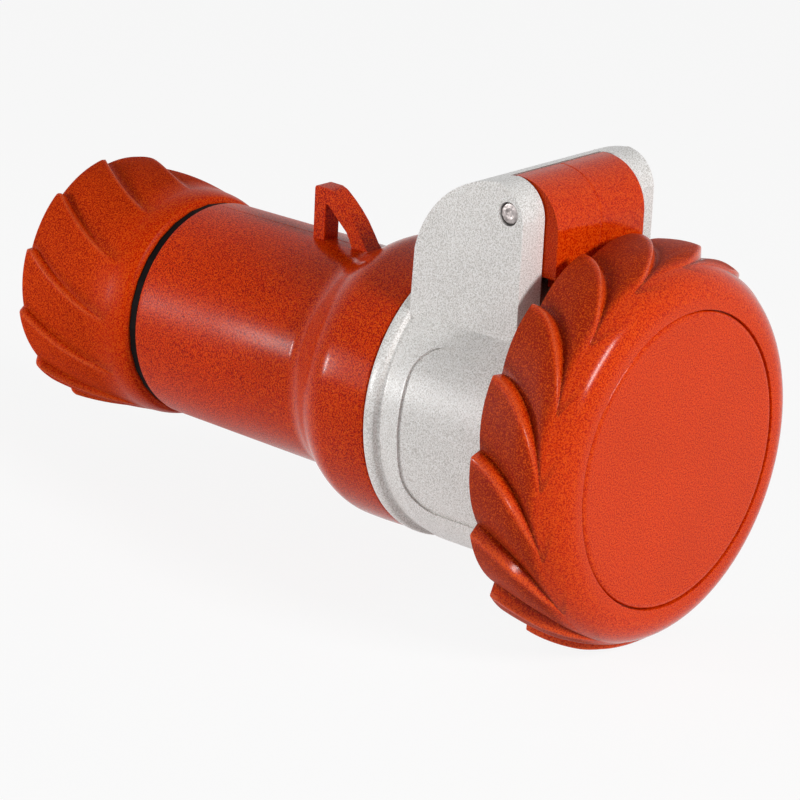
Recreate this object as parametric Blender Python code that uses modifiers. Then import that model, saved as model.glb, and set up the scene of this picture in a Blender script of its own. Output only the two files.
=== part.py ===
"""Portable industrial socket, 16 A five-pole, with a hinged bayonet cap.

Blender 4.5, metres, +Z up. The long axis runs along Y. The cap's flat front face is at
Y = 0 and looks to -Y, the cable gland is at the +Y end, and the lid's hinge is on top.
Angles round the axis are measured from the top (+Z) towards -X, which is
counter-clockwise for someone who looks at the cap.
"""
import math

import bpy
import bmesh
from mathutils import Matrix, Vector

MM = 0.001
GAP = 0.3 * MM            # clearance between pieces that seat on each other
SLIP = 0.7 * MM           # clearance round pieces that swing past each other

# Barrel of the grey front housing
BARREL_R = 33.8 * MM
SLEEVE_WALL = 3.2 * MM
SLEEVE_BORE_R = BARREL_R - SLEEVE_WALL
BARREL_FRONT_Y = 8.5 * MM
NECK_Y = 53.7 * MM
NECK_STEP = 0.6 * MM
FLANGE_RISE = 0.3 * MM
FLANGE_WIDTH = 3.2 * MM
JOINT_Y = 63.6 * MM       # where the grey housing meets the red handle
SOCKET_FLOOR_Y = 48.0 * MM
SOCKET_FLOOR_THICKNESS = 3.0 * MM
SPIGOT_LENGTH = 10.4 * MM
SPIGOT_WALL = 2.6 * MM
KEYWAY_WIDTH = 8.0 * MM
KEYWAY_DEPTH = 1.8 * MM
PANEL_DEPTH = 0.5 * MM
PANEL_TOP_SHARE = 0.607   # of the barrel's radius
PANEL_BOTTOM_SHARE = -0.556
PANEL_FRONT_Y = 21.0 * MM
PANEL_CORNER_R = 8.0 * MM

# Hinge hood: two ears and the curved cover that joins them
EAR_HALF_WIDTH = 23.2 * MM
EAR_THICKNESS = 7.5 * MM
EAR_FRONT_Y = 29.6 * MM
EAR_CORNER_R = 8.5 * MM
HOOD_OVER_PIN = 6.5 * MM
HOOD_ARC_R = 25.1 * MM
HOOD_ARC_Y = 35.5 * MM
HOOD_REAR_ANGLE = 11.7    # where the curved top meets the rear face, in degrees
HOOD_SINK = 0.6 * MM      # how far the rear face runs into the flange
COVER_WALL = 2.5 * MM
HOOD_EDGE_ROUND = 1.3 * MM
PIN_Y = 33.9 * MM
PIN_OVER_BARREL = 19.5 * MM
PIN_Z = BARREL_R + PIN_OVER_BARREL
HOOD_TOP_Z = PIN_Z + HOOD_OVER_PIN
PIN_R = 2.5 * MM
PIN_END_SETBACK = 0.3 * MM

# Bayonet ramps on the barrel and lugs in the ring
RAMP_HEIGHT = 4.0 * MM
RAMP_FRONT_Y = 12.0 * MM
RAMP_THICKNESS = 2.4 * MM
RAMP_RISE = 1.3 * MM
RAMP_START = 73.8         # degrees, where a lug enters
RAMP_END = 40.8
STOP_WIDTH = 2.5          # degrees
LUG_CENTRE = 90.0
LUG_WIDTH = 16.0
LUG_THICKNESS = 3.0 * MM
LUG_CLEAR = 1.5 * MM      # between a lug's tip and the barrel

# Bayonet ring, a cup with sixteen overlapping leaf grips
RING_OVER_RAMP = 4.0 * MM  # from the ramps to the ring's bore
RING_BULGE = 0.8 * MM
RING_DEPTH = 22.0 * MM
RING_WALL = 2.4 * MM
RING_DOME_WIDTH = 8.2 * MM  # how far the rim rounds over, seen from the front
RING_DOME_DEPTH = 9.0 * MM
RING_LEAVES = 16
RING_FIRST_FOOT = -9.3
RING_LEAF_RISE = 2.2 * MM
RING_LEAF_SWEEP = 33.0
RING_LEAF_END_Y = 4.9 * MM

# Front disc and lid
DISC_FROM_DOME = 2.0 * MM
DISC_THICKNESS = 1.5 * MM
DISC_RIM = 4.0 * MM
RING_LIP = 1.6 * MM       # the ring's inner lip, held between disc and lid
DISC_SPIGOT_R = 8.0 * MM
DISC_SPIGOT_LENGTH = 4.3 * MM
LID_IN_RING = 2.9 * MM    # between the lid's edge and the ring's bore
LID_THICKNESS = 3.0 * MM
LID_BOSS_WALL = 3.7 * MM
LID_BOSS_HEIGHT = 2.5 * MM
GASKET_OVERHANG = 1.2 * MM  # how far the gasket reaches past the barrel outside
GASKET_UNDERHANG = 0.3 * MM
GASKET_GROOVE_DEPTH = 1.2 * MM
BLOCK_HALF_WIDTH = 15.3 * MM
BLOCK_FRONT_Y = 26.0 * MM
BLOCK_CROWN_R = 11.3 * MM
BLOCK_UNDER_HOOD = 0.1 * MM
BLOCK_SWING_R = 7.94 * MM
BLOCK_FOOT_DEPTH = 7.0 * MM
ARM_HALF_WIDTH = 10.5 * MM
ARM_THICKNESS = 4.2 * MM
ARM_OVER_BARREL = 2.4 * MM
SPRING_SLOT_HALF_WIDTH = 6.5 * MM
SLOT_WALL = 1.4 * MM
SLOT_UNDER_PIN = 10.3 * MM

# Torsion spring round the hinge pin
SPRING_WIRE_R = 0.4 * MM
SPRING_COIL_R = 3.2 * MM
SPRING_TURNS = 4
SPRING_PITCH = 1.8 * MM

# Contact insert, contacts and terminal screws
PLUG_SLOT = 6.5 * MM      # room for the plug's collar between insert and barrel
INSERT_FRONT_Y = 10.5 * MM
INSERT_WALL = 2.1 * MM
RETAINER_WIDTH = 3.0 * MM
CARRIER_PLUG_LENGTH = 6.0 * MM   # the part of the carrier that is inside the insert
CARRIER_FLANGE_WIDTH = 3.0 * MM
CARRIER_FLANGE_RISE = 3.5 * MM   # over the insert's outside
CARRIER_REAR_LENGTH = 7.7 * MM
CONTACT_FROM_EDGE = 8.6 * MM
PHASE_BORE_R = 2.6 * MM
EARTH_BORE_R = 3.6 * MM
CONTACT_WALL = 1.1 * MM
CONTACT_MOUTH_LIP = 0.5 * MM
MOUTH_DEPTH = 2.5 * MM
CONTACT_TAIL = 8.0 * MM
CONTACT_SLOT_WIDTH = 0.9 * MM
CONTACT_SLOT_LENGTH = 14.0 * MM
WIRE_BORE_R = 2.2 * MM
WIRE_BORE_DEPTH = 10.0 * MM
SCREW_SHANK_R = 1.5 * MM
SCREW_HEAD_R = 2.6 * MM
SCREW_HEAD_HEIGHT = 1.6 * MM
SCREW_FROM_REAR = 4.2 * MM
CONTACT_NAMES = ("earth", "l1", "l2", "l3", "neutral")

# Red handle with its flared collar and moulded eye
COLLAR_RISE = 0.1 * MM    # the collar stands this much over the barrel
COLLAR_LENGTH = 12.0 * MM
FLARE_END_Y = 94.0 * MM
HANDLE_R = 27.0 * MM
HANDLE_REAR_R = 26.5 * MM
HANDLE_END_Y = 144.0 * MM
HANDLE_WALL = 2.9 * MM
THREAD_R = 24.0 * MM
THREAD_LENGTH = 20.0 * MM
GLAND_WALL = 4.5 * MM
GLAND_SHOULDER_SETBACK = 8.0 * MM  # from the handle's end
GLAND_SHOULDER_WIDTH = 4.0 * MM
EYE_HALF_WIDTH = 2.5 * MM
EYE_REAR_Y = 109.3 * MM
EYE_TOP_Z = 39.5 * MM
EYE_LEG = 3.5 * MM
EYE_TOP_LENGTH = 4.6 * MM
EYE_LENGTH = 17.4 * MM

# Seals and gland
SEAL_GROOVE_WIDTH = 2.4 * MM
SEAL_GROOVE_DEPTH = 1.6 * MM
SEAL_FROM_FLANGE = 2.4 * MM
GLAND_GAP = 2.5 * MM      # between handle and nut, filled by the black seal ring
SEAL_RING_WALL = 1.7 * MM
GROMMET_LENGTH = 9.2 * MM
CABLE_R = 8.0 * MM
WASHER_THICKNESS = 1.4 * MM
WASHER_BORE_R = 9.5 * MM
CAGE_COLLAR_LENGTH = 2.8 * MM
CAGE_LENGTH = 13.0 * MM
CAGE_TAPER = 5.2 * MM     # how far the fingers lean in from collar to tip
CAGE_WALL = 2.0 * MM
CAGE_FINGERS = 8
CAGE_SLOT_WIDTH = 1.6 * MM

# Gland nut with twelve leaf grips
NUT_LENGTH = 35.5 * MM
NUT_LIP_WIDTH = 2.2 * MM
NUT_FRONT_R = 27.9 * MM
NUT_REAR_R = 29.4 * MM
NUT_HOLE_R = 12.0 * MM
NUT_LEAVES = 12
NUT_FIRST_FOOT = 3.2
NUT_LEAF_RISE = 1.5 * MM
NUT_LEAF_SWEEP = 23.7
NUT_LEAF_END = 6.5 * MM   # from the nut's front lip to where the leaves fade out
NUT_TIP_SETBACK = 3.5 * MM

# Positions that follow from the sizes above
NECK_R = BARREL_R - NECK_STEP
FLANGE_R = BARREL_R + FLANGE_RISE
COLLAR_R = BARREL_R + COLLAR_RISE
RAMP_R = BARREL_R + RAMP_HEIGHT
RING_BORE_R = RAMP_R + RING_OVER_RAMP
RING_R = RING_BORE_R + RING_WALL
RING_DOME_R = RING_R - RING_DOME_WIDTH
DISC_R = RING_DOME_R - DISC_FROM_DOME
DISC_HUB_R = DISC_R - DISC_RIM
LID_R = RING_BORE_R - LID_IN_RING
GASKET_INNER_R = SLEEVE_BORE_R - GASKET_UNDERHANG
GASKET_OUTER_R = BARREL_R + GASKET_OVERHANG
ARM_INNER_R = BARREL_R + ARM_OVER_BARREL
BLOCK_TOP_Z = HOOD_TOP_Z - BLOCK_UNDER_HOOD
BLOCK_BOTTOM_Z = ARM_INNER_R + ARM_THICKNESS * 0.55
SLOT_BOTTOM_Z = PIN_Z - SLOT_UNDER_PIN
LIP_FRONT_Y = DISC_THICKNESS + GAP
LIP_REAR_Y = LIP_FRONT_Y + RING_LIP
LID_FRONT_Y = LIP_REAR_Y + GAP
LID_REAR_Y = LID_FRONT_Y + LID_THICKNESS
LUG_TIP_R = BARREL_R + LUG_CLEAR
LUG_FRONT_Y = RAMP_FRONT_Y + RAMP_THICKNESS + RAMP_RISE + GAP
SPIGOT_R = COLLAR_R - HANDLE_WALL - GAP - 0.1 * MM
SPIGOT_END_Y = JOINT_Y + SPIGOT_LENGTH
SPIGOT_BORE_R = SPIGOT_R - SPIGOT_WALL
EAR_INNER_X = EAR_HALF_WIDTH - EAR_THICKNESS
INSERT_R = SLEEVE_BORE_R - PLUG_SLOT
INSERT_BORE_R = INSERT_R - INSERT_WALL
INSERT_BODY_Y = INSERT_FRONT_Y + MOUTH_DEPTH + GAP
CARRIER_R = INSERT_BORE_R - GAP
CARRIER_FLANGE_Y = SOCKET_FLOOR_Y + SOCKET_FLOOR_THICKNESS + GAP
RETAINER_Y = CARRIER_FLANGE_Y + CARRIER_FLANGE_WIDTH + GAP
CARRIER_REAR_Y = CARRIER_FLANGE_Y + CARRIER_FLANGE_WIDTH + CARRIER_REAR_LENGTH
CONTACT_CIRCLE_R = INSERT_R - CONTACT_FROM_EDGE
CONTACT_FRONT_Y = INSERT_BODY_Y
CONTACT_REAR_Y = CARRIER_REAR_Y + CONTACT_TAIL
THREAD_END_Y = HANDLE_END_Y + THREAD_LENGTH
NUT_FRONT_Y = HANDLE_END_Y + GLAND_GAP
NUT_REAR_Y = NUT_FRONT_Y + NUT_LENGTH
GLAND_SHOULDER_Y = HANDLE_END_Y + GLAND_SHOULDER_SETBACK
EYE_FOOT_Y = EYE_REAR_Y - EYE_LENGTH
GROMMET_Y = GLAND_SHOULDER_Y + GAP
WASHER_Y = GROMMET_Y + GROMMET_LENGTH + GAP
CAGE_Y = WASHER_Y + WASHER_THICKNESS + GAP
GLAND_BORE_R = THREAD_R - GLAND_WALL
GLAND_SHOULDER_R = GLAND_BORE_R - GLAND_SHOULDER_WIDTH
CAGE_R = GLAND_BORE_R - GAP
CAGE_TIP_R = CAGE_R - CAGE_TAPER
NUT_LIP_R = THREAD_R + NUT_LIP_WIDTH

ROUND_STEPS = 32
RING_STEPS = 28
SMALL_STEPS = 16
HOLE_STEPS = 10
MERGE = 0.000001

# Each leaf is four columns wide: the foot, the rounded step, the crest and the slow slope
LEAF_COLUMNS = (0.0, 0.035, 0.08, 0.54)
LEAF_HEIGHTS = (0.0, 0.72, 1.0, 0.5)


def clear_scene():
    """Remove every object that the file starts with."""
    for obj in list(bpy.data.objects):
        bpy.data.objects.remove(obj, do_unlink=True)


def new_collection(name):
    """Make a collection in the scene."""
    group = bpy.data.collections.new(name)
    bpy.context.scene.collection.children.link(group)
    return group


def plastic(name, colour, roughness=0.4, metallic=0.0):
    """Make a plain Principled material."""
    material = bpy.data.materials.new(name)
    material.use_nodes = True
    shader = material.node_tree.nodes["Principled BSDF"]
    shader.inputs["Base Color"].default_value = (*colour, 1.0)
    shader.inputs["Roughness"].default_value = roughness
    shader.inputs["Metallic"].default_value = metallic
    material.diffuse_color = (*colour, 1.0)
    return material


def add_object(name, mesh, group):
    """Link a mesh to a collection as a new object."""
    obj = bpy.data.objects.new(name, mesh)
    group.objects.link(obj)
    return obj


def settle(obj):
    """Turn an object's modifiers, or a curve, into a welded mesh whose faces point out."""
    graph = bpy.context.evaluated_depsgraph_get()
    mesh = bpy.data.meshes.new_from_object(obj.evaluated_get(graph))
    cage = bmesh.new()
    cage.from_mesh(mesh)
    cage.transform(obj.matrix_world)
    bmesh.ops.remove_doubles(cage, verts=cage.verts, dist=MERGE)
    bmesh.ops.dissolve_degenerate(cage, dist=MERGE, edges=cage.edges)
    bmesh.ops.recalc_face_normals(cage, faces=cage.faces)
    cage.to_mesh(mesh)
    cage.free()
    name, groups = obj.name, list(obj.users_collection)
    bpy.data.objects.remove(obj, do_unlink=True)
    solid = add_object(name, mesh, groups[0])
    bpy.context.view_layer.update()
    return solid


def turned(name, profile, group, steps=ROUND_STEPS, closed=True):
    """Turn a profile of (radius, y) points about the Y axis with a Screw modifier."""
    mesh = bpy.data.meshes.new(name)
    count = len(profile)
    edges = [(i, i + 1) for i in range(count - 1)]
    if closed:
        edges.append((count - 1, 0))
    mesh.from_pydata([(radius, y, 0.0) for radius, y in profile], edges, [])
    obj = add_object(name, mesh, group)
    screw = obj.modifiers.new("turn", "SCREW")
    screw.axis = "Y"
    screw.steps = steps
    screw.render_steps = steps
    screw.use_merge_vertices = True
    screw.merge_threshold = MERGE
    screw.use_smooth_shade = True
    return settle(obj)


def rod(name, radius, start, end, group, steps=HOLE_STEPS):
    """A cylinder between two points."""
    start, end = Vector(start), Vector(end)
    cage = bmesh.new()
    bmesh.ops.create_cone(cage, cap_ends=True, segments=steps, radius1=radius,
                          radius2=radius, depth=(end - start).length)
    turn = Vector((0, 0, 1)).rotation_difference(end - start).to_matrix().to_4x4()
    cage.transform(Matrix.Translation((start + end) / 2) @ turn)
    mesh = bpy.data.meshes.new(name)
    cage.to_mesh(mesh)
    cage.free()
    return add_object(name, mesh, group)


def box(name, low, high, group):
    """A box between two corners."""
    cage = bmesh.new()
    bmesh.ops.create_cube(cage, size=1.0)
    low, high = Vector(low), Vector(high)
    cage.transform(Matrix.Translation((low + high) / 2) @ Matrix.Diagonal((*(high - low), 1.0)))
    mesh = bpy.data.meshes.new(name)
    cage.to_mesh(mesh)
    cage.free()
    return add_object(name, mesh, group)


def side_plate(name, outline, half_width, group):
    """Extrude a side outline of (y, z) points to both sides of the middle plane."""
    curve = bpy.data.curves.new(name, "CURVE")
    curve.dimensions = "2D"
    curve.fill_mode = "BOTH"
    curve.extrude = half_width
    spline = curve.splines.new("POLY")
    spline.points.add(len(outline) - 1)
    for point, (y, z) in zip(spline.points, outline):
        point.co = (y, z, 0.0, 1.0)
    spline.use_cyclic_u = True
    obj = add_object(name, curve, group)
    # Local X, Y and Z become the world's Y, Z and X
    obj.matrix_world = Matrix(((0, 0, 1, 0), (1, 0, 0, 0), (0, 1, 0, 0), (0, 0, 0, 1)))
    bpy.context.view_layer.update()
    return settle(obj)


def arc(centre, radius, start, end, count):
    """Points on an arc, in degrees, both ends included."""
    angles = [math.radians(start + (end - start) * i / count) for i in range(count + 1)]
    return [(centre[0] + radius * math.cos(a), centre[1] + radius * math.sin(a)) for a in angles]


def boolean(obj, tool, operation):
    """Combine an object with a tool object, which is then put away as a cutter."""
    step = obj.modifiers.new(tool.name, "BOOLEAN")
    step.operation = operation
    step.solver = "EXACT"
    step.object = tool
    bpy.context.view_layer.update()
    solid = settle(obj)
    tool.hide_render = True
    tool.display_type = "WIRE"
    return solid


def cut(obj, tool):
    """Take a tool's shape away from an object."""
    return boolean(obj, tool, "DIFFERENCE")


def join(obj, tool):
    """Add a tool's shape to an object."""
    return boolean(obj, tool, "UNION")


def keep_inside(obj, tool):
    """Keep only what lies inside the tool's shape."""
    return boolean(obj, tool, "INTERSECT")


def rounded(obj, width, segments=2, angle=50.0):
    """Round an object's sharp edges."""
    bevel = obj.modifiers.new("round", "BEVEL")
    bevel.width = width
    bevel.segments = segments
    bevel.limit_method = "ANGLE"
    bevel.angle_limit = math.radians(angle)
    return settle(obj)


def finish(obj, material, sharp=32.0):
    """Give a piece its material and its smooth shading."""
    obj.data.materials.clear()
    obj.data.materials.append(material)
    obj.data.shade_smooth()
    obj.data.set_sharp_from_angle(angle=math.radians(sharp))
    return obj


def on_axis(angle, radius, y):
    """The point at an angle round the axis, measured from the top towards -X."""
    a = math.radians(angle)
    return Vector((-radius * math.sin(a), y, radius * math.cos(a)))


def sector(name, inner, outer, front, rear, start, end, group, steps=8):
    """A block bent round the axis; rear holds its depth at the start and at the end."""
    cage = bmesh.new()
    corners = [on_axis(start, inner, front), on_axis(start, outer, front),
               on_axis(start, outer, rear[0]), on_axis(start, inner, rear[0])]
    face = cage.faces.new([cage.verts.new(corner) for corner in corners])
    bmesh.ops.spin(cage, geom=[face], cent=(0, 0, 0), axis=(0, 1, 0), steps=steps,
                   angle=math.radians(start - end), use_duplicate=False)
    for vert in cage.verts:
        if vert.co.y > (front + rear[0]) / 2:
            angle = math.degrees(math.atan2(-vert.co.x, vert.co.z)) % 360.0
            share = (angle - start) / (end - start)
            vert.co.y = rear[0] + (rear[1] - rear[0]) * share
    bmesh.ops.recalc_face_normals(cage, faces=cage.faces)
    mesh = bpy.data.meshes.new(name)
    cage.to_mesh(mesh)
    cage.free()
    return add_object(name, mesh, group)


def push_out_leaves(obj, rows, leaves, first_foot):
    """Shape a turned cup's columns into overlapping leaves.

    rows holds (radius, y, sweep, rise) for each profile point: how far the leaf's edge has
    run round the axis there, in degrees, and how high its crest stands.
    """
    columns = len(LEAF_COLUMNS)
    pitch = 360.0 / leaves
    for vert in obj.data.vertices:
        x, y, z = vert.co
        radius = math.hypot(x, z)
        row = min(rows, key=lambda item: math.hypot(item[0] - radius, item[1] - y))
        # A turned profile starts at +X, which is -90 degrees from the top
        index = round((math.degrees(math.atan2(-x, z)) + 90.0) / (pitch / columns))
        leaf, column = divmod(index, columns)
        angle = first_foot + pitch * (leaf + LEAF_COLUMNS[column]) + row[2]
        vert.co = on_axis(angle, radius + row[3] * LEAF_HEIGHTS[column], y)
    obj.data.update()


def ring_rows():
    """The bayonet ring's section, from the rear edge over the dome and back inside."""
    rows = []
    leaf_run = RING_DEPTH - RING_LEAF_END_Y
    bulge_y = RING_DEPTH - 6.0 * MM
    for step in (0.0, 0.7, 3.8, 7.4, 10.8, 13.6, 15.8, 17.1):
        depth = min(step * MM * leaf_run / (17.1 * MM), leaf_run)
        y = RING_DEPTH - depth
        share = depth / leaf_run
        turn = math.asin(min(1.0, share) ** (1.0 / 1.15))
        sweep = RING_LEAF_SWEEP * (1.0 - math.cos(turn))
        rise = RING_LEAF_RISE * math.sin(math.pi / 2 * min(1.0, (1.0 - share) / 0.4))
        if y > RING_DOME_DEPTH:
            reach = bulge_y - RING_DOME_DEPTH
            radius = RING_R + RING_BULGE * (1.0 - ((y - bulge_y) / reach) ** 2)
        else:
            dome = math.acos(1.0 - y / RING_DOME_DEPTH)
            radius = RING_DOME_R + (RING_R - RING_DOME_R) * math.sin(dome)
        if step == 0.0:
            radius -= 0.6 * MM
            rise *= 0.8
        rows.append((radius, y, sweep, rise))
    for share, height in ((0.7, 0.5), (0.35, 0.15)):
        y = RING_LEAF_END_Y * height
        dome = math.acos(1.0 - y / RING_DOME_DEPTH)
        radius = RING_DOME_R + (RING_R - RING_DOME_R) * math.sin(dome)
        rows.append((radius, y, RING_LEAF_SWEEP * share, 0.0))
    rows.append((RING_DOME_R, 0.0, RING_LEAF_SWEEP * 0.1, 0.0))
    lip_bore = DISC_HUB_R + GAP
    inside = [(DISC_R + GAP, 0.0), (DISC_R + GAP, LIP_FRONT_Y), (lip_bore, LIP_FRONT_Y),
              (lip_bore, LIP_REAR_Y), (RING_BORE_R - 2.2 * MM, LIP_REAR_Y),
              (RING_BORE_R, LIP_REAR_Y + 2.4 * MM), (RING_BORE_R, RING_DEPTH)]
    return rows + [(radius, y, 0.0, 0.0) for radius, y in inside]


def make_ring(parts, cutters):
    """The bayonet ring: a turned cup, its leaf grips pushed out, and two lugs inside."""
    rows = ring_rows()
    ring = turned("bayonet_ring", [row[:2] for row in rows], parts,
                  steps=RING_LEAVES * len(LEAF_COLUMNS))
    push_out_leaves(ring, rows, RING_LEAVES, RING_FIRST_FOOT)
    depth = (LUG_FRONT_Y + LUG_THICKNESS,) * 2
    for side in (0.0, 180.0):
        centre = LUG_CENTRE + side
        lug = sector("lug", LUG_TIP_R, RING_BORE_R + RING_WALL / 2, LUG_FRONT_Y, depth,
                     centre + LUG_WIDTH / 2, centre - LUG_WIDTH / 2, cutters, steps=3)
        ring = join(ring, lug)
    return ring


def nut_rows():
    """The gland nut's section, from the rear face along the grips and back inside."""
    rows = [(NUT_REAR_R - 3.9 * MM, NUT_REAR_Y, 0.0, 0.0),
            (NUT_REAR_R - 2.0 * MM, NUT_REAR_Y - 0.4 * MM, 0.0, 0.3 * NUT_LEAF_RISE),
            (NUT_REAR_R - 0.9 * MM, NUT_REAR_Y - 1.4 * MM, 0.0, 0.65 * NUT_LEAF_RISE)]
    tip_y = NUT_REAR_Y - NUT_TIP_SETBACK
    end_y = NUT_FRONT_Y + NUT_LEAF_END
    for share in (0.0, 0.2, 0.45, 0.72, 1.0):
        y = tip_y + (end_y - tip_y) * share
        sweep = NUT_LEAF_SWEEP * (1.35 * share - 0.35 * share * share)
        rise = NUT_LEAF_RISE * math.sin(math.pi / 2 * min(1.0, (1.0 - share) / 0.75))
        radius = NUT_REAR_R - (NUT_REAR_R - NUT_FRONT_R) * 0.75 * share ** 1.6
        rows.append((radius, y, sweep, rise))
    for turn, depth, drop in ((0.62, 3.5, 0.0), (0.3, 0.9, 0.7)):
        radius = NUT_FRONT_R - drop * MM
        rows.append((radius, NUT_FRONT_Y + depth * MM, NUT_LEAF_SWEEP * turn, 0.0))
    cone_y = THREAD_END_Y + GAP
    cage_end = CAGE_Y + CAGE_LENGTH
    inside = [(NUT_LIP_R, NUT_FRONT_Y), (THREAD_R + GAP, NUT_FRONT_Y), (THREAD_R + GAP, cone_y),
              (CAGE_R + 2 * GAP, cone_y), (CAGE_R + 2 * GAP, CAGE_Y + CAGE_COLLAR_LENGTH),
              (CAGE_TIP_R + 2 * GAP, cage_end + GAP), (NUT_HOLE_R, cage_end + GAP),
              (NUT_HOLE_R, cage_end + 2.2 * MM), (NUT_HOLE_R + 3.5 * MM, NUT_REAR_Y)]
    return rows + [(radius, y, 0.0, 0.0) for radius, y in inside]


def make_nut(parts):
    """The gland nut: turned, with its leaf grips pushed out."""
    rows = nut_rows()
    nut = turned("gland_nut", [row[:2] for row in rows], parts,
                 steps=NUT_LEAVES * len(LEAF_COLUMNS))
    push_out_leaves(nut, rows, NUT_LEAVES, NUT_FIRST_FOOT)
    return nut


def hood_outline(inset=0.0):
    """The hood's side outline: flat front, rounded front corner, curved top and rear."""
    centre = (HOOD_ARC_Y, HOOD_TOP_Z - HOOD_ARC_R)
    rear_y = JOINT_Y - FLANGE_WIDTH + HOOD_SINK - inset
    corner = (EAR_FRONT_Y + EAR_CORNER_R, HOOD_TOP_Z - EAR_CORNER_R)
    points = arc(centre, HOOD_ARC_R - inset, HOOD_REAR_ANGLE, 84.0, 10)
    if inset == 0.0:
        points += arc(corner, EAR_CORNER_R, 92.0, 180.0, 6) + [(EAR_FRONT_Y, 0.0)]
    return [(rear_y, 0.0), (rear_y, BARREL_R / 2)] + points


def make_hood(cutters):
    """Two ears joined by a curved cover, open in front, with a hole for the pin."""
    hood = side_plate("hood", hood_outline(), EAR_HALF_WIDTH, cutters)
    hood = rounded(hood, HOOD_EDGE_ROUND)
    swing = BLOCK_SWING_R + SLIP
    inner = hood_outline(COVER_WALL)
    edge_z = BLOCK_TOP_Z - PIN_Z
    lip_y = PIN_Y + math.sqrt(swing ** 2 - edge_z ** 2)
    well = [point for point in inner if point[0] > PIN_Y + swing]
    start = math.degrees(math.asin((well[-1][1] - PIN_Z) / swing))
    top = math.degrees(math.acos((lip_y - PIN_Y) / swing))
    well += arc((PIN_Y, PIN_Z), swing, start, top, 5)
    well += [(lip_y, HOOD_TOP_Z + 10 * MM), (0.0, HOOD_TOP_Z + 10 * MM), (0.0, 0.0)]
    hood = cut(hood, side_plate("hood_well", well, EAR_INNER_X, cutters))
    # The underside follows the barrel, sunk halfway into its wall
    seat_r = (BARREL_R + SLEEVE_BORE_R) / 2
    seat = rod("hood_seat", seat_r, (0, 0, 0), (0, JOINT_Y * 2, 0), cutters, steps=ROUND_STEPS)
    return cut(hood, seat)


def barrel_profile():
    """The front housing's section: sleeve, neck, flange, rear spigot and socket floor."""
    flange_y = JOINT_Y - FLANGE_WIDTH
    groove_y = JOINT_Y + SEAL_FROM_FLANGE
    groove_r = SPIGOT_R - SEAL_GROOVE_DEPTH
    floor_rear = SOCKET_FLOOR_Y + SOCKET_FLOOR_THICKNESS
    chamfer = 0.5 * MM
    return [(BARREL_R - chamfer, BARREL_FRONT_Y), (BARREL_R, BARREL_FRONT_Y + chamfer),
            (BARREL_R, NECK_Y), (NECK_R, NECK_Y + 0.2 * MM), (NECK_R, flange_y),
            (NECK_R + 0.4 * MM, flange_y + 0.2 * MM), (FLANGE_R, flange_y + 0.9 * MM),
            (FLANGE_R, JOINT_Y - 0.5 * MM), (FLANGE_R - 0.4 * MM, JOINT_Y),
            (SPIGOT_R, JOINT_Y), (SPIGOT_R, groove_y), (groove_r, groove_y),
            (groove_r, groove_y + SEAL_GROOVE_WIDTH), (SPIGOT_R, groove_y + SEAL_GROOVE_WIDTH),
            (SPIGOT_R, SPIGOT_END_Y), (SPIGOT_BORE_R, SPIGOT_END_Y), (SPIGOT_BORE_R, floor_rear),
            (INSERT_R + GAP, floor_rear), (INSERT_R + GAP, SOCKET_FLOOR_Y),
            (SLEEVE_BORE_R, SOCKET_FLOOR_Y), (SLEEVE_BORE_R, BARREL_FRONT_Y + chamfer),
            (SLEEVE_BORE_R + chamfer, BARREL_FRONT_Y)]


def panel_cutter(cutters):
    """The shallow recess with rounded corners on both flanks of the barrel."""
    inner = BARREL_R - PANEL_DEPTH
    outer = BARREL_R + 5 * MM
    radius = PANEL_CORNER_R
    rear, front = NECK_Y - 0.2 * MM, PANEL_FRONT_Y
    top, bottom = BARREL_R * PANEL_TOP_SHARE, BARREL_R * PANEL_BOTTOM_SHARE
    shell = turned("panel_shell", [(inner, front), (outer, front), (outer, rear), (inner, rear)],
                   cutters)
    outline = arc((rear - radius, top - radius), radius, 0, 90, 5)
    outline += [(front, top), (front, bottom)]
    outline += arc((rear - radius, bottom + radius), radius, -90, 0, 5)
    window = side_plate("panel_window", outline, BARREL_R * 2, cutters)
    return keep_inside(shell, window)


def make_front_housing(parts, cutters):
    """The grey housing: barrel, flange, socket floor, hinge hood, ramps and recesses."""
    housing = turned("front_housing", barrel_profile(), parts)
    housing = join(housing, make_hood(cutters))
    root_r = (BARREL_R + SLEEVE_BORE_R) / 2
    ramp_rear = RAMP_FRONT_Y + RAMP_THICKNESS
    stop_rear = (LUG_FRONT_Y + LUG_THICKNESS,) * 2
    for side in (0.0, 180.0):
        ramp = sector("ramp", root_r, RAMP_R, RAMP_FRONT_Y, (ramp_rear, ramp_rear + RAMP_RISE),
                      RAMP_START + side, RAMP_END + side, cutters)
        housing = join(housing, ramp)
        stop = sector("stop", root_r, RAMP_R, RAMP_FRONT_Y + 0.2 * MM, stop_rear,
                      RAMP_END + STOP_WIDTH / 5 + side, RAMP_END - STOP_WIDTH + side, cutters,
                      steps=1)
        housing = join(housing, stop)
    housing = cut(housing, panel_cutter(cutters))
    keyway = box("keyway", (-KEYWAY_WIDTH / 2, 0, -SLEEVE_BORE_R - KEYWAY_DEPTH),
                 (KEYWAY_WIDTH / 2, SOCKET_FLOOR_Y - 2 * MM, -SLEEVE_BORE_R + 3 * MM), cutters)
    housing = cut(housing, keyway)
    reach = EAR_HALF_WIDTH + 5 * MM
    hole = rod("pin_hole", PIN_R + GAP, (-reach, PIN_Y, PIN_Z), (reach, PIN_Y, PIN_Z), cutters,
               steps=SMALL_STEPS)
    return cut(housing, hole)


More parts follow.
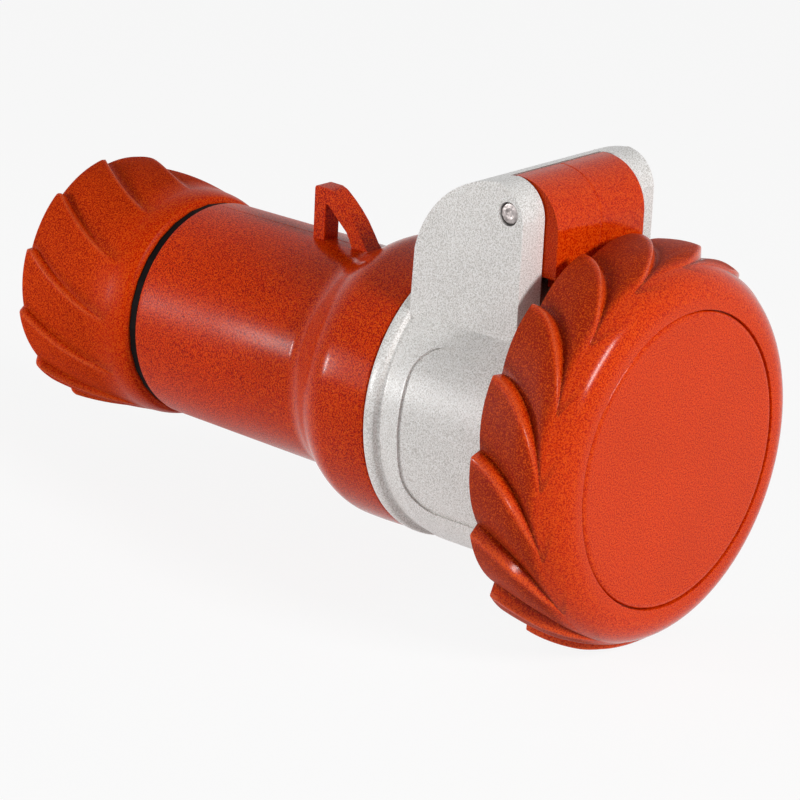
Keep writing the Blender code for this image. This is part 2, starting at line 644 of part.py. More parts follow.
def block_outline():
    """The lid's hinge block from the side: crowned front, swing arc behind, narrow foot."""
    crown = (BLOCK_FRONT_Y + BLOCK_CROWN_R, BLOCK_TOP_Z - BLOCK_CROWN_R)
    foot_rear = BLOCK_FRONT_Y + BLOCK_FOOT_DEPTH
    top = math.degrees(math.asin((BLOCK_TOP_Z - PIN_Z) / BLOCK_SWING_R))
    low = -math.degrees(math.acos((foot_rear - PIN_Y) / BLOCK_SWING_R))
    points = [(BLOCK_FRONT_Y, BLOCK_BOTTOM_Z)]
    points += arc(crown, BLOCK_CROWN_R, 180.0, 90.0, 8)
    points += arc((PIN_Y, PIN_Z), BLOCK_SWING_R, top, low, 10)
    points += [(foot_rear, BLOCK_BOTTOM_Z)]
    return points


def slot_outline():
    """The spring's slot: it follows the block's crown and is open towards the cover."""
    crown = (BLOCK_FRONT_Y + BLOCK_CROWN_R, BLOCK_TOP_Z - BLOCK_CROWN_R)
    radius = BLOCK_CROWN_R - SLOT_WALL
    rear_y = PIN_Y + BLOCK_SWING_R * 2
    return ([(crown[0] - radius, SLOT_BOTTOM_Z)] + arc(crown, radius, 180.0, 90.0, 5)
            + [(rear_y, crown[1] + radius), (rear_y, SLOT_BOTTOM_Z)])


def make_lid(parts, cutters):
    """The lid: a disc under the ring, an arm through the ring's gap and the hinge block."""
    boss_r = DISC_SPIGOT_R + GAP + LID_BOSS_WALL
    boss_rear = LID_REAR_Y + LID_BOSS_HEIGHT
    socket_r = DISC_SPIGOT_R + GAP
    socket_rear = LIP_REAR_Y + DISC_SPIGOT_LENGTH + GAP
    groove_y = LID_REAR_Y - GASKET_GROOVE_DEPTH
    profile = [(0.0, boss_rear), (boss_r, boss_rear), (boss_r, LID_REAR_Y),
               (GASKET_INNER_R - GAP, LID_REAR_Y), (GASKET_INNER_R - GAP, groove_y),
               (GASKET_OUTER_R + GAP, groove_y), (GASKET_OUTER_R + GAP, LID_REAR_Y),
               (LID_R, LID_REAR_Y), (LID_R, LID_FRONT_Y), (socket_r, LID_FRONT_Y),
               (socket_r, socket_rear), (0.0, socket_rear)]
    lid = turned("lid", profile, parts, closed=False)
    outer = ARM_INNER_R + ARM_THICKNESS
    rear = BLOCK_FRONT_Y + BLOCK_FOOT_DEPTH - 1 * MM
    slant_y = LID_FRONT_Y + 1.8 * MM
    arm = turned("arm", [(ARM_INNER_R, LID_FRONT_Y), (LID_R, LID_FRONT_Y), (outer, slant_y),
                         (outer, rear), (ARM_INNER_R, rear)], cutters)
    window = box("arm_window", (-ARM_HALF_WIDTH, 0, 0), (ARM_HALF_WIDTH, rear * 2, outer * 2),
                 cutters)
    lid = join(lid, keep_inside(arm, window))
    block = side_plate("block", block_outline(), BLOCK_HALF_WIDTH, cutters)
    block = rounded(block, 0.8 * MM)
    block = cut(block, side_plate("spring_slot", slot_outline(), SPRING_SLOT_HALF_WIDTH, cutters))
    reach = BLOCK_HALF_WIDTH * 2
    bore = rod("block_bore", PIN_R + GAP, (-reach, PIN_Y, PIN_Z), (reach, PIN_Y, PIN_Z), cutters,
               steps=SMALL_STEPS)
    block = cut(block, bore)
    return join(lid, block)


def make_front_disc(parts):
    """The flat front disc that holds the ring's lip against the lid."""
    profile = [(0.0, 0.0), (DISC_R - 0.3 * MM, 0.0), (DISC_R, 0.3 * MM), (DISC_R, DISC_THICKNESS),
               (DISC_HUB_R, DISC_THICKNESS), (DISC_HUB_R, LIP_REAR_Y), (DISC_SPIGOT_R, LIP_REAR_Y),
               (DISC_SPIGOT_R, LIP_REAR_Y + DISC_SPIGOT_LENGTH), (0.0, LIP_REAR_Y + DISC_SPIGOT_LENGTH)]
    return turned("front_disc", profile, parts, closed=False)


def ring_of(name, inner, outer, front, rear, group):
    """A plain turned ring."""
    return turned(name, [(outer, front), (outer, rear), (inner, rear), (inner, front)], group,
                  RING_STEPS)


def make_contact_face(parts, cutters):
    """The insert's face with the five mouths that the plug's pins go into."""
    chamfer = 0.6 * MM
    rear = INSERT_FRONT_Y + MOUTH_DEPTH
    profile = [(0.0, INSERT_FRONT_Y), (INSERT_R - chamfer, INSERT_FRONT_Y),
               (INSERT_R, INSERT_FRONT_Y + chamfer), (INSERT_R, rear), (0.0, rear)]
    face = turned("contact_face", profile, parts, steps=RING_STEPS, closed=False)
    for name in CONTACT_NAMES:
        bore, outer, angle = contact_sizes(name)
        mouth = rod("contact_mouth", bore + CONTACT_MOUTH_LIP, (0, 0, 0), (0, rear * 2, 0), cutters)
        shift_to_contact(mouth, angle)
        face = cut(face, mouth)
    return face


def make_carrier(parts, cutters):
    """The carrier that holds the five contacts and plugs into the insert from behind."""
    flange_r = INSERT_R + CARRIER_FLANGE_RISE
    flange_rear = CARRIER_FLANGE_Y + CARRIER_FLANGE_WIDTH
    front = CARRIER_FLANGE_Y - CARRIER_PLUG_LENGTH
    profile = [(0.0, front), (CARRIER_R, front), (CARRIER_R, CARRIER_FLANGE_Y),
               (flange_r, CARRIER_FLANGE_Y), (flange_r, flange_rear), (CARRIER_R, flange_rear),
               (CARRIER_R, CARRIER_REAR_Y), (0.0, CARRIER_REAR_Y)]
    carrier = turned("contact_carrier", profile, parts, steps=RING_STEPS, closed=False)
    for name in CONTACT_NAMES:
        bore, outer, angle = contact_sizes(name)
        hole = rod("contact_hole", outer + GAP, (0, 0, 0), (0, CARRIER_REAR_Y * 2, 0), cutters)
        shift_to_contact(hole, angle)
        carrier = cut(carrier, hole)
    return carrier


def contact_sizes(name):
    """A contact's bore radius, outer radius and angle round the axis."""
    bore = EARTH_BORE_R if name == "earth" else PHASE_BORE_R
    step = 360.0 / len(CONTACT_NAMES)
    return bore, bore + CONTACT_WALL, 180.0 + step * CONTACT_NAMES.index(name)


def shift_to_contact(obj, angle):
    """Move a piece that was made on the axis to its place on the contact circle."""
    obj.data.transform(Matrix.Translation(on_axis(angle, CONTACT_CIRCLE_R, 0.0)))
    obj.data.update()


def make_contact(name, parts, cutters):
    """A brass contact: a slotted sleeve in front, a wire bore and a screw hole behind."""
    bore, outer, angle = contact_sizes(name)
    bore_end = CONTACT_REAR_Y - WIRE_BORE_DEPTH - 2 * MM
    wire_y = CONTACT_REAR_Y - WIRE_BORE_DEPTH
    profile = [(outer, CONTACT_FRONT_Y), (outer, CONTACT_REAR_Y), (WIRE_BORE_R, CONTACT_REAR_Y),
               (WIRE_BORE_R, wire_y), (0.0, wire_y), (0.0, bore_end), (bore, bore_end),
               (bore, CONTACT_FRONT_Y)]
    contact = turned("contact_" + name, profile, parts, steps=HOLE_STEPS)
    slot = box("contact_slot", (-outer * 2, 0.0, -CONTACT_SLOT_WIDTH / 2),
               (outer * 2, CONTACT_FRONT_Y + CONTACT_SLOT_LENGTH, CONTACT_SLOT_WIDTH / 2), cutters)
    contact = cut(contact, slot)
    screw_y = CONTACT_REAR_Y - SCREW_FROM_REAR
    hole = rod("screw_hole", SCREW_SHANK_R + GAP, (0, screw_y, 0),
               on_axis(angle, outer * 2, screw_y), cutters, steps=HOLE_STEPS)
    contact = cut(contact, hole)
    shift_to_contact(contact, angle)
    return contact


def make_terminal_screw(name, parts, cutters):
    """A terminal screw that stands radially in its contact."""
    angle = contact_sizes(name)[2]
    outer = contact_sizes(name)[1]
    screw_y = CONTACT_REAR_Y - SCREW_FROM_REAR
    head_r = outer + GAP
    screw = rod("terminal_screw_" + name, SCREW_HEAD_R, on_axis(angle, head_r, screw_y),
                on_axis(angle, head_r + SCREW_HEAD_HEIGHT, screw_y), parts, steps=HOLE_STEPS)
    shank = rod("screw_shank", SCREW_SHANK_R, on_axis(angle, WIRE_BORE_R / 2, screw_y),
                on_axis(angle, head_r + SCREW_HEAD_HEIGHT / 2, screw_y), cutters, steps=HOLE_STEPS)
    screw = join(screw, shank)
    slot_low = head_r + SCREW_HEAD_HEIGHT * 0.55
    slot = box("driver_slot", (-0.35 * MM, screw_y - SCREW_HEAD_R * 2, slot_low),
               (0.35 * MM, screw_y + SCREW_HEAD_R * 2, slot_low + SCREW_HEAD_HEIGHT), cutters)
    slot.data.transform(Matrix.Rotation(math.radians(-angle), 4, "Y"))
    screw = cut(screw, slot)
    shift_to_contact(screw, angle)
    return screw


def handle_profile():
    """The handle's section: collar, flare, grip tube, thread and gland seat."""
    front = JOINT_Y + GAP
    flare_start = JOINT_Y + COLLAR_LENGTH
    outside = [(COLLAR_R - 0.4 * MM, front), (COLLAR_R, front + 0.4 * MM),
               (COLLAR_R, flare_start - 5 * MM)]
    drop = COLLAR_R - HANDLE_R
    for share in (0.0, 0.2, 0.4, 0.6, 0.8, 1.0):
        y = flare_start + (FLARE_END_Y - flare_start) * share
        ease = (1.0 - math.cos(math.pi * share ** 1.12)) / 2
        outside.append((COLLAR_R - 0.2 * MM - (drop - 0.2 * MM) * ease, y))
    outside += [(HANDLE_REAR_R, HANDLE_END_Y - 0.5 * MM), (HANDLE_REAR_R - 0.4 * MM, HANDLE_END_Y),
                (THREAD_R, HANDLE_END_Y),
                (THREAD_R, THREAD_END_Y - 0.8 * MM), (THREAD_R - 0.8 * MM, THREAD_END_Y)]
    bore = HANDLE_R - HANDLE_WALL
    web_y = GLAND_SHOULDER_Y - 2.5 * MM
    throat = GLAND_BORE_R + 1.0 * MM
    inside = [(GLAND_BORE_R, THREAD_END_Y), (GLAND_BORE_R, GLAND_SHOULDER_Y),
              (GLAND_SHOULDER_R, GLAND_SHOULDER_Y), (GLAND_SHOULDER_R, web_y), (throat, web_y),
              (throat, HANDLE_END_Y), (bore, HANDLE_END_Y - 3 * MM), (bore, FLARE_END_Y - 1.5 * MM),
              (COLLAR_R - HANDLE_WALL, flare_start - 1 * MM), (COLLAR_R - HANDLE_WALL, front)]
    return outside + inside


def make_eye(cutters):
    """The suspension eye: an upright leg, a short top and a slanted strut."""
    base = HANDLE_R - 1.8 * MM
    top_front = EYE_REAR_Y - EYE_TOP_LENGTH
    slant = [(top_front, EYE_TOP_Z), (EYE_REAR_Y - 8.6 * MM, EYE_TOP_Z - 2.5 * MM),
             (EYE_REAR_Y - 13.0 * MM, EYE_TOP_Z - 6.7 * MM), (EYE_FOOT_Y, HANDLE_R - 0.4 * MM)]
    outline = [(EYE_REAR_Y, base), (EYE_REAR_Y, EYE_TOP_Z)] + slant + [(EYE_FOOT_Y, base)]
    eye = side_plate("eye", outline, EYE_HALF_WIDTH, cutters)
    leg_y = EYE_REAR_Y - EYE_LEG
    hole = [(leg_y, 0.0), (leg_y, EYE_TOP_Z - 3.9 * MM), (leg_y - 1.4 * MM, EYE_TOP_Z - 4.5 * MM),
            (leg_y - 4.6 * MM, EYE_TOP_Z - 7.3 * MM), (leg_y - 7.0 * MM, EYE_TOP_Z - 9.3 * MM),
            (EYE_FOOT_Y + 5.4 * MM, HANDLE_R - 0.4 * MM), (EYE_FOOT_Y + 5.4 * MM, 0.0)]
    return cut(eye, side_plate("eye_hole", hole, EYE_HALF_WIDTH * 2, cutters))


def make_handle(parts, cutters):
    """The red handle in one moulding with its eye."""
    handle = turned("handle", handle_profile(), parts)
    return join(handle, make_eye(cutters))


def make_clamp_cage(parts, cutters):
    """The clamp cage: a collar and tapered fingers that the nut's cone closes."""
    collar_end = CAGE_Y + CAGE_COLLAR_LENGTH
    end = CAGE_Y + CAGE_LENGTH
    profile = [(CAGE_R, CAGE_Y), (CAGE_R, collar_end), (CAGE_TIP_R, end),
               (CAGE_TIP_R - CAGE_WALL, end), (CAGE_R - CAGE_WALL, collar_end),
               (CAGE_R - CAGE_WALL, CAGE_Y + 1.2 * MM),
               (WASHER_BORE_R + 2 * MM, CAGE_Y + 1.2 * MM), (WASHER_BORE_R + 2 * MM, CAGE_Y)]
    cage = turned("clamp_cage", profile, parts, steps=RING_STEPS)
    for index in range(CAGE_FINGERS // 2):
        slot = box("cage_slot", (-CAGE_R * 2, collar_end, -CAGE_SLOT_WIDTH / 2),
                   (CAGE_R * 2, end * 2, CAGE_SLOT_WIDTH / 2), cutters)
        slot.data.transform(Matrix.Rotation(math.pi * index / (CAGE_FINGERS // 2), 4, "Y"))
        cage = cut(cage, slot)
    return cage


def make_spring(parts):
    """The torsion spring: a coil on the pin, one leg on the lid and one on the barrel."""
    points_a_turn = 8
    total = SPRING_TURNS * points_a_turn + points_a_turn // 2
    length = SPRING_PITCH * total / points_a_turn
    wall_y = BLOCK_FRONT_Y + SLOT_WALL + SPRING_WIRE_R + GAP
    lean_y = PIN_Y + 1.3 * MM
    foot_z = BARREL_R + SPRING_WIRE_R + GAP
    leg_z = SLOT_BOTTOM_Z + 3 * MM
    points = [(-length / 2, wall_y, leg_z), (-length / 2, PIN_Y - SPRING_COIL_R, PIN_Z - 2 * MM)]
    for index in range(total + 1):
        turn = math.pi - 2 * math.pi * index / points_a_turn
        points.append((-length / 2 + length * index / total, PIN_Y + SPRING_COIL_R * math.cos(turn),
                       PIN_Z + SPRING_COIL_R * math.sin(turn)))
    points += [(length / 2, PIN_Y + SPRING_COIL_R * 0.9, PIN_Z - 2 * MM),
               (length / 2, lean_y, PIN_Z - BLOCK_SWING_R + 1.6 * MM), (length / 2, lean_y, foot_z)]
    curve = bpy.data.curves.new("torsion_spring", "CURVE")
    curve.dimensions = "3D"
    curve.bevel_depth = SPRING_WIRE_R
    curve.bevel_resolution = 1
    curve.use_fill_caps = True
    spline = curve.splines.new("POLY")
    spline.points.add(len(points) - 1)
    for point, place in zip(spline.points, points):
        point.co = (*place, 1.0)
    return settle(add_object("torsion_spring", curve, parts))


def make_hinge_pin(parts):
    """The steel hinge pin, set back a little from the ears' faces."""
    half = EAR_HALF_WIDTH - PIN_END_SETBACK
    pin = rod("hinge_pin", PIN_R, (-half, PIN_Y, PIN_Z), (half, PIN_Y, PIN_Z), parts,
              steps=SMALL_STEPS)
    return rounded(pin, 0.35 * MM, segments=1)


def pivot(name, place, group, parent=None):
    """An empty on a joint's axis."""
    empty = bpy.data.objects.new(name, None)
    group.objects.link(empty)
    empty.empty_display_size = 10 * MM
    empty.location = Vector(place) - (parent.location if parent else Vector())
    empty.parent = parent
    bpy.context.view_layer.update()
    return empty


def hang(empty, names):
    """Put pieces under a joint's empty, with their own origins on its axis too."""
    place = empty.matrix_world.translation
    for name in names:
        obj = bpy.data.objects[name]
        obj.data.transform(Matrix.Translation(-place))
        obj.parent = empty
    bpy.context.view_layer.update()


def build():
    """Make every piece of the socket."""
    clear_scene()
    parts = new_collection("portable_industrial_socket")
    cutters = new_collection("cutters")

    red = {"colour": (0.58, 0.045, 0.012), "roughness": 0.32}
    grey = {"colour": (0.56, 0.55, 0.52), "roughness": 0.42}
    rubber = {"colour": (0.012, 0.010, 0.010), "roughness": 0.7}
    brass = {"colour": (0.72, 0.50, 0.20), "roughness": 0.3, "metallic": 1.0}
    steel = {"colour": (0.55, 0.53, 0.52), "roughness": 0.3, "metallic": 1.0}
    nylon = {"colour": (0.08, 0.08, 0.085), "roughness": 0.5}

    seal_y = JOINT_Y + SEAL_FROM_FLANGE
    seal_r = SPIGOT_R - SEAL_GROOVE_DEPTH
    gasket_front = LID_REAR_Y - GASKET_GROOVE_DEPTH + GAP
    cap_ring_y = HANDLE_END_Y + GAP
    pieces = [
        (make_front_housing(parts, cutters), grey),
        (make_handle(parts, cutters), red),
        (make_ring(parts, cutters), red),
        (make_front_disc(parts), red),
        (make_lid(parts, cutters), red),
        (make_nut(parts), red),
        (ring_of("lid_gasket", GASKET_INNER_R, GASKET_OUTER_R, gasket_front,
                 BARREL_FRONT_Y - GAP, parts), rubber),
        (ring_of("flange_seal", seal_r + GAP, SPIGOT_R, seal_y + GAP,
                 seal_y + SEAL_GROOVE_WIDTH - GAP, parts), rubber),
        (ring_of("body_seal", THREAD_R + GAP, THREAD_R + GAP + SEAL_RING_WALL, cap_ring_y,
                 NUT_FRONT_Y - GAP, parts), rubber),
        (ring_of("insert_retainer", CARRIER_R + GAP, SPIGOT_BORE_R - GAP, RETAINER_Y,
                 RETAINER_Y + RETAINER_WIDTH, parts), nylon),
        (ring_of("cable_grommet", CABLE_R, CAGE_R, GROMMET_Y,
                 GROMMET_Y + GROMMET_LENGTH, parts), rubber),
        (ring_of("slip_washer", WASHER_BORE_R, CAGE_R, WASHER_Y,
                 WASHER_Y + WASHER_THICKNESS, parts), nylon),
        (make_clamp_cage(parts, cutters), nylon),
        (make_contact_face(parts, cutters), nylon),
        (ring_of("contact_insert", INSERT_BORE_R, INSERT_R, INSERT_BODY_Y,
                 CARRIER_FLANGE_Y - GAP, parts), nylon),
        (make_carrier(parts, cutters), nylon),
        (make_hinge_pin(parts), steel),
        (make_spring(parts), steel),
    ]
    for name in CONTACT_NAMES:
        pieces.append((make_contact(name, parts, cutters), brass))
        pieces.append((make_terminal_screw(name, parts, cutters), steel))
    for obj, look in pieces:
        finish(obj, plastic(obj.name, **look))

    lid_pivot = pivot("lid_pivot", (0.0, PIN_Y, PIN_Z), parts)
    ring_pivot = pivot("ring_pivot", (0.0, LIP_FRONT_Y, 0.0), parts, lid_pivot)
    gland_slide = pivot("gland_slide", (0.0, CAGE_Y, 0.0), parts)
    hang(lid_pivot, ("lid", "front_disc", "lid_gasket"))
    hang(ring_pivot, ("bayonet_ring",))
    hang(gland_slide, ("slip_washer", "clamp_cage", "gland_nut"))


build()
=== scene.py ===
"""Looks of a portable industrial socket with a hinged bayonet cap.

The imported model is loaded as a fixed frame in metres. Every visible moulding is modelled again
here in fine detail and stands for its CAD node. Sizes in the classes are millimetres, in the
CAD's own axes: the body runs along Y from the cap at Y = 0 to the gland, and Z is up.
"""

import logging
import math
from dataclasses import dataclass, field
from enum import Enum
from typing import Callable

import bpy
import numpy as np
from mathutils import Matrix, Vector, noise


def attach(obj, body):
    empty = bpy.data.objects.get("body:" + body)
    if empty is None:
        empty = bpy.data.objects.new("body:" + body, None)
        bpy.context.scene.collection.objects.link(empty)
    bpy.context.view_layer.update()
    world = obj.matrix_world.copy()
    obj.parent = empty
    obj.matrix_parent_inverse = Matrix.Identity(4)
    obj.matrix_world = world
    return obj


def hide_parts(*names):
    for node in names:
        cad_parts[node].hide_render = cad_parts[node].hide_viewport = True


log = logging.getLogger("socket")

MM = 0.001
Profile = list[tuple[float, float]]
Colour = tuple[float, float, float, float]

# Vertices closer than this, in metres, are one vertex
WELD = 0.000001
# Columns of the turned housing and handle and of their cutters
COLUMNS = 160
# How much of the table is plain white to the camera; the rest shows the object's shadow
TABLE_GLOW = 0.89
WHITE = (1, 1, 1, 1)


class Step(Enum):
    """What a Boolean does with its tool, as Blender names it."""

    ADD = "UNION"
    CUT = "DIFFERENCE"
    KEEP = "INTERSECT"


# ---- Small helpers -------------------------------------------------------------------------

def linear(code: str) -> Colour:
    """Turn an sRGB hex value into a linear colour.

    Args:
        code: six hex digits with a leading #.

    Returns:
        The linear red, green, blue and an alpha of 1.
    """
    parts = [int(code[i:i + 2], 16) / 255.0 for i in (1, 3, 5)]
    flat = [p / 12.92 if p <= 0.04045 else ((p + 0.055) / 1.055) ** 2.4 for p in parts]
    return flat[0], flat[1], flat[2], 1.0


def per_metre(size_mm: float) -> float:
    """Return the texture scale that repeats once in this many millimetres."""
    return 1000.0 / size_mm


def add_node(tree: bpy.types.NodeTree, kind: str, settings: dict | None = None,
             links: dict | None = None) -> bpy.types.Node:
    """Add a node with its settings and links.

    Args:
        tree: the material's or world's node tree.
        kind: the node's type name.
        settings: attribute names, or input names and numbers, with their values.
        links: input names or numbers with the output socket that feeds each.

    Returns:
        The new node.
    """
    node = tree.nodes.new(kind)
    for key, value in (settings or {}).items():
        if isinstance(key, str) and hasattr(node, key):
            setattr(node, key, value)
        else:
            node.inputs[key].default_value = value
    for key, socket in (links or {}).items():
        tree.links.new(socket, node.inputs[key])
    return node


def arc(centre: tuple[float, float], radius: float, start: float, end: float,
        count: int) -> Profile:
    """Return points on an arc in degrees, both ends included."""
    turns = [math.radians(start + (end - start) * i / count) for i in range(count + 1)]
    return [(centre[0] + radius * math.cos(t), centre[1] + radius * math.sin(t)) for t in turns]


# ---- Finishes ------------------------------------------------------------------------------

def new_material(name: str) -> tuple[bpy.types.Material, bpy.types.Node, bpy.types.NodeSocket]:
    """Start a material.

    Args:
        name: its name.

    Returns:
        The material, its shader and the object coordinates.
    """
    material = bpy.data.materials.new(name)
    material.use_nodes = True
    place = add_node(material.node_tree, "ShaderNodeTexCoord").outputs["Object"]
    return material, material.node_tree.nodes["Principled BSDF"], place


def mark(tree: bpy.types.NodeTree, name: str) -> bpy.types.NodeSocket:
    """Return the output that reads one of the mesh's marks."""
    return add_node(tree, "ShaderNodeAttribute", {"attribute_name": name}).outputs["Fac"]


def speckle(tree: bpy.types.NodeTree, place: bpy.types.NodeSocket, size_mm: float,
            detail: float, roughness: float = 0.5) -> bpy.types.NodeSocket:
    """Add noise of a given size.

    Args:
        tree: the material's node tree.
        place: the object coordinates.
        size_mm: how wide a speck is, in millimetres.
        detail: how many finer layers it has.
        roughness: how strong the finer layers are.

    Returns:
        The noise's output, from 0 to 1.
    """
    return add_node(tree, "ShaderNodeTexNoise",
                    {"Scale": per_metre(size_mm), "Detail": detail, "Roughness": roughness},
                    {"Vector": place}).outputs["Fac"]


def blend(tree: bpy.types.NodeTree, share: bpy.types.NodeSocket,
          under: bpy.types.NodeSocket | Colour, over: Colour) -> bpy.types.NodeSocket:
    """Lay one colour over another.

    Args:
        tree: the material's node tree.
        share: how much of the upper colour shows.
        under: the lower colour, or the output that gives it.
        over: the upper colour.

    Returns:
        The mixed colour's output.
    """
    settings, links = {"data_type": "RGBA", 7: over}, {0: share}
    (settings if isinstance(under, tuple) else links)[6] = under
    return add_node(tree, "ShaderNodeMix", settings, links).outputs[2]


def remap(tree: bpy.types.NodeTree, value: bpy.types.NodeSocket, source: tuple[float, float],
          target: tuple[float, float]) -> bpy.types.NodeSocket:
    """Map a value from one range to another and hold it at the ends.

    Args:
        tree: the material's node tree.
        value: the output that gives the value.
        source: the range that it comes from.
        target: the range that it is mapped to.

    Returns:
        The mapped value's output.
    """
    return add_node(tree, "ShaderNodeMapRange",
                    {"From Min": source[0], "From Max": source[1],
                     "To Min": target[0], "To Max": target[1]}, {"Value": value}).outputs["Result"]


def emboss(tree: bpy.types.NodeTree, shader: bpy.types.Node, height: bpy.types.NodeSocket,
           strength: float, depth: float) -> None:
    """Give a shader a fine relief.

    Args:
        tree: the material's node tree.
        shader: the shader.
        height: the output that gives the relief's height.
        strength: how strongly it shows.
        depth: the height's full range in metres.
    """
    relief = add_node(tree, "ShaderNodeBump", {"Strength": strength, "Distance": depth},
                      {"Height": height})
    tree.links.new(relief.outputs["Normal"], shader.inputs["Normal"])


class Grain(Enum):
    """How a moulding tool's surface was eroded, as the size of its grain in millimetres."""

    # The real grain is near 0.2 mm, too fine to show here, so it is drawn coarser
    FINE = 0.34
    MEDIUM = 0.6


@dataclass(frozen=True)
class MouldedPlastic:
    """Injection-moulded polyamide from a spark-eroded tool.

    The tool leaves a satin grain, and the pigment lies in it as darker and lighter specks, so
    the surface looks mottled close by. Grip faces, marked by the mesh's "grip" attribute, come
    from a coarser part of the tool, which is duller, and they are given a darker base colour.
    """

    name: str
    base: str
    speck_dark: str
    speck_light: str
    grip_base: str
    roughness: float
    grain: Grain
    speck_amount: float = 0.5
    bump: float = 0.25
    sheen_level: float = 0.4
    # Painted highlight: the paler colour painted on the leaves' crests
    crest_highlight: str = "#DC5228"
    # Painted shade: the colour that darkens the valleys between the leaves
    valley_shade: str = "#3A1408"
    cloud_mm: float = 22.0
    cloud_lift: float = 0.04
    grip_mottle: float = 0.2
    grip_fewer_specks: float = 0.4
    grip_dullness: float = 0.42
    grain_height: float = 0.00005
    ior: float = 1.5

    def colour(self, tree: bpy.types.NodeTree, place: bpy.types.NodeSocket,
               grip: bpy.types.NodeSocket) -> bpy.types.NodeSocket:
        """Mix the pigment's specks into the base colour.

        Args:
            tree: the material's node tree.
            place: the object coordinates.
            grip: how much a place belongs to a grip face.

        Returns:
            The colour output.
        """
        specks = speckle(tree, place, self.grain.value, 3.0, 0.7)
        # Melt flow leaves very soft clouds a couple of centimetres wide
        clouds = speckle(tree, place, self.cloud_mm, 2.0)
        face = blend(tree, grip, linear(self.base), linear(self.grip_base))
        # Painted highlight pales the leaves' crests, and painted shade darkens the valleys between
        # them
        crest_lit = blend(tree, mark(tree, "crest"), face, linear(self.crest_highlight))
        body = blend(tree, mark(tree, "valley"), crest_lit, linear(self.valley_shade))
        dark = remap(tree, specks, (0.5, 0.4), (0.0, self.speck_amount))
        darker = blend(tree, dark, body, linear(self.speck_dark))
        # Grip faces have fewer light specks
        amount = add_node(tree, "ShaderNodeMath",
                          {"operation": "MULTIPLY_ADD", 2: self.speck_amount,
                           1: -self.speck_amount * self.grip_fewer_specks}, {0: grip})
        light = add_node(tree, "ShaderNodeMapRange", {"From Min": 0.5, "From Max": 0.6},
                         {"Value": specks, "To Max": amount.outputs[0]})
        lighter = blend(tree, light.outputs["Result"], darker, linear(self.speck_light))
        lift = remap(tree, clouds, (0.3, 0.7), (1.0 - self.cloud_lift, 1.0 + self.cloud_lift))
        # The coarser tool of a grip face shows as a fine light and dark mottle
        swing = remap(tree, specks, (0.38, 0.62), (-self.grip_mottle, self.grip_mottle))
        value = add_node(tree, "ShaderNodeMath", {"operation": "MULTIPLY_ADD"},
                         {0: swing, 1: grip, 2: lift})
        cloudy = add_node(tree, "ShaderNodeHueSaturation",
                          links={"Color": lighter, "Value": value.outputs[0]})
        return cloudy.outputs["Color"]

    def material(self) -> bpy.types.Material:
        """Build the material.

        Returns:
            The material.
        """
        material, shader, place = new_material(self.name)
        tree = material.node_tree
        grip = mark(tree, "grip")
        tree.links.new(self.colour(tree, place, grip), shader.inputs["Base Color"])
        grain = speckle(tree, place, self.grain.value * 1.2, 2.0)
        gloss = remap(tree, grain, (0.25, 0.75), (self.roughness - 0.06, self.roughness + 0.08))
        matt = add_node(tree, "ShaderNodeMath",
                        {"operation": "MULTIPLY_ADD", 1: self.grip_dullness}, {0: grip, 2: gloss})
        tree.links.new(matt.outputs[0], shader.inputs["Roughness"])
        emboss(tree, shader, grain, self.bump, self.grain_height)
        shader.inputs["IOR"].default_value = self.ior
        shader.inputs["Specular IOR Level"].default_value = self.sheen_level
        return material


@dataclass(frozen=True)
class Rubber:
    """Moulded nitrile or silicone rubber: nearly black, dull, with a faint bloom."""

    name: str
    base: str
    roughness: float = 0.62
    sheen_level: float = 0.2
    bloom_mm: float = 3.0
    uneven: float = 0.12
    ior: float = 1.52

    def material(self) -> bpy.types.Material:
        """Build the material.

        Returns:
            The material.
        """
        material, shader, place = new_material(self.name)
        tree = material.node_tree
        shader.inputs["Base Color"].default_value = linear(self.base)
        dull = remap(tree, speckle(tree, place, self.bloom_mm, 4.0), (0.0, 1.0),
                     (self.roughness - self.uneven, self.roughness + self.uneven))
        tree.links.new(dull, shader.inputs["Roughness"])
        shader.inputs["IOR"].default_value = self.ior
        shader.inputs["Specular IOR Level"].default_value = self.sheen_level
        return material


@dataclass(frozen=True)
class Metal:
    """Turned, drawn or peened metal whose tint and shine vary finely with its tool marks."""

    name: str
    base: str
    dark: str
    roughness: float
    mark_mm: float = 0.25
    uneven: float = 0.1
    mark_depth: float = 0.00003

    def material(self) -> bpy.types.Material:
        """Build the material.

        Returns:
            The material.
        """
        material, shader, place = new_material(self.name)
        tree = material.node_tree
        shader.inputs["Metallic"].default_value = 1.0
        marks = speckle(tree, place, self.mark_mm * 3, 3.0)
        tint = blend(tree, marks, linear(self.dark), linear(self.base))
        tree.links.new(tint, shader.inputs["Base Color"])
        worn = remap(tree, marks, (0.0, 1.0),
                     (self.roughness - self.uneven, self.roughness + self.uneven))
        tree.links.new(worn, shader.inputs["Roughness"])
        emboss(tree, shader, marks, 0.2, self.mark_depth)
        return material


# Polyamide coloured right through in the red that marks 400 volts: satin, orange where it is lit
RED = MouldedPlastic("red_polyamide_polished", "#DB3800", "#A00C00", "#E65812", "#982800",
                     0.16, Grain.FINE, speck_amount=0.8, bump=0.1, sheen_level=0.12)
# On the handle the tool is eroded evenly, so its grain shows as a fine red and orange mottle
RED_SATIN = MouldedPlastic("red_polyamide_eroded", "#D22C00", "#820600", "#DA5408", "#D22C00",
                           0.17, Grain.FINE, speck_amount=1.0, bump=0.12, sheen_level=0.085)
# The gland nut's tool is eroded more deeply, so it shines less and looks a little browner
RED_MATT = MouldedPlastic("red_polyamide_deep_eroded", "#D23002", "#900C00", "#D65A10", "#C43204",
                          0.34, Grain.FINE, speck_amount=0.8, bump=0.2, sheen_level=0.05)
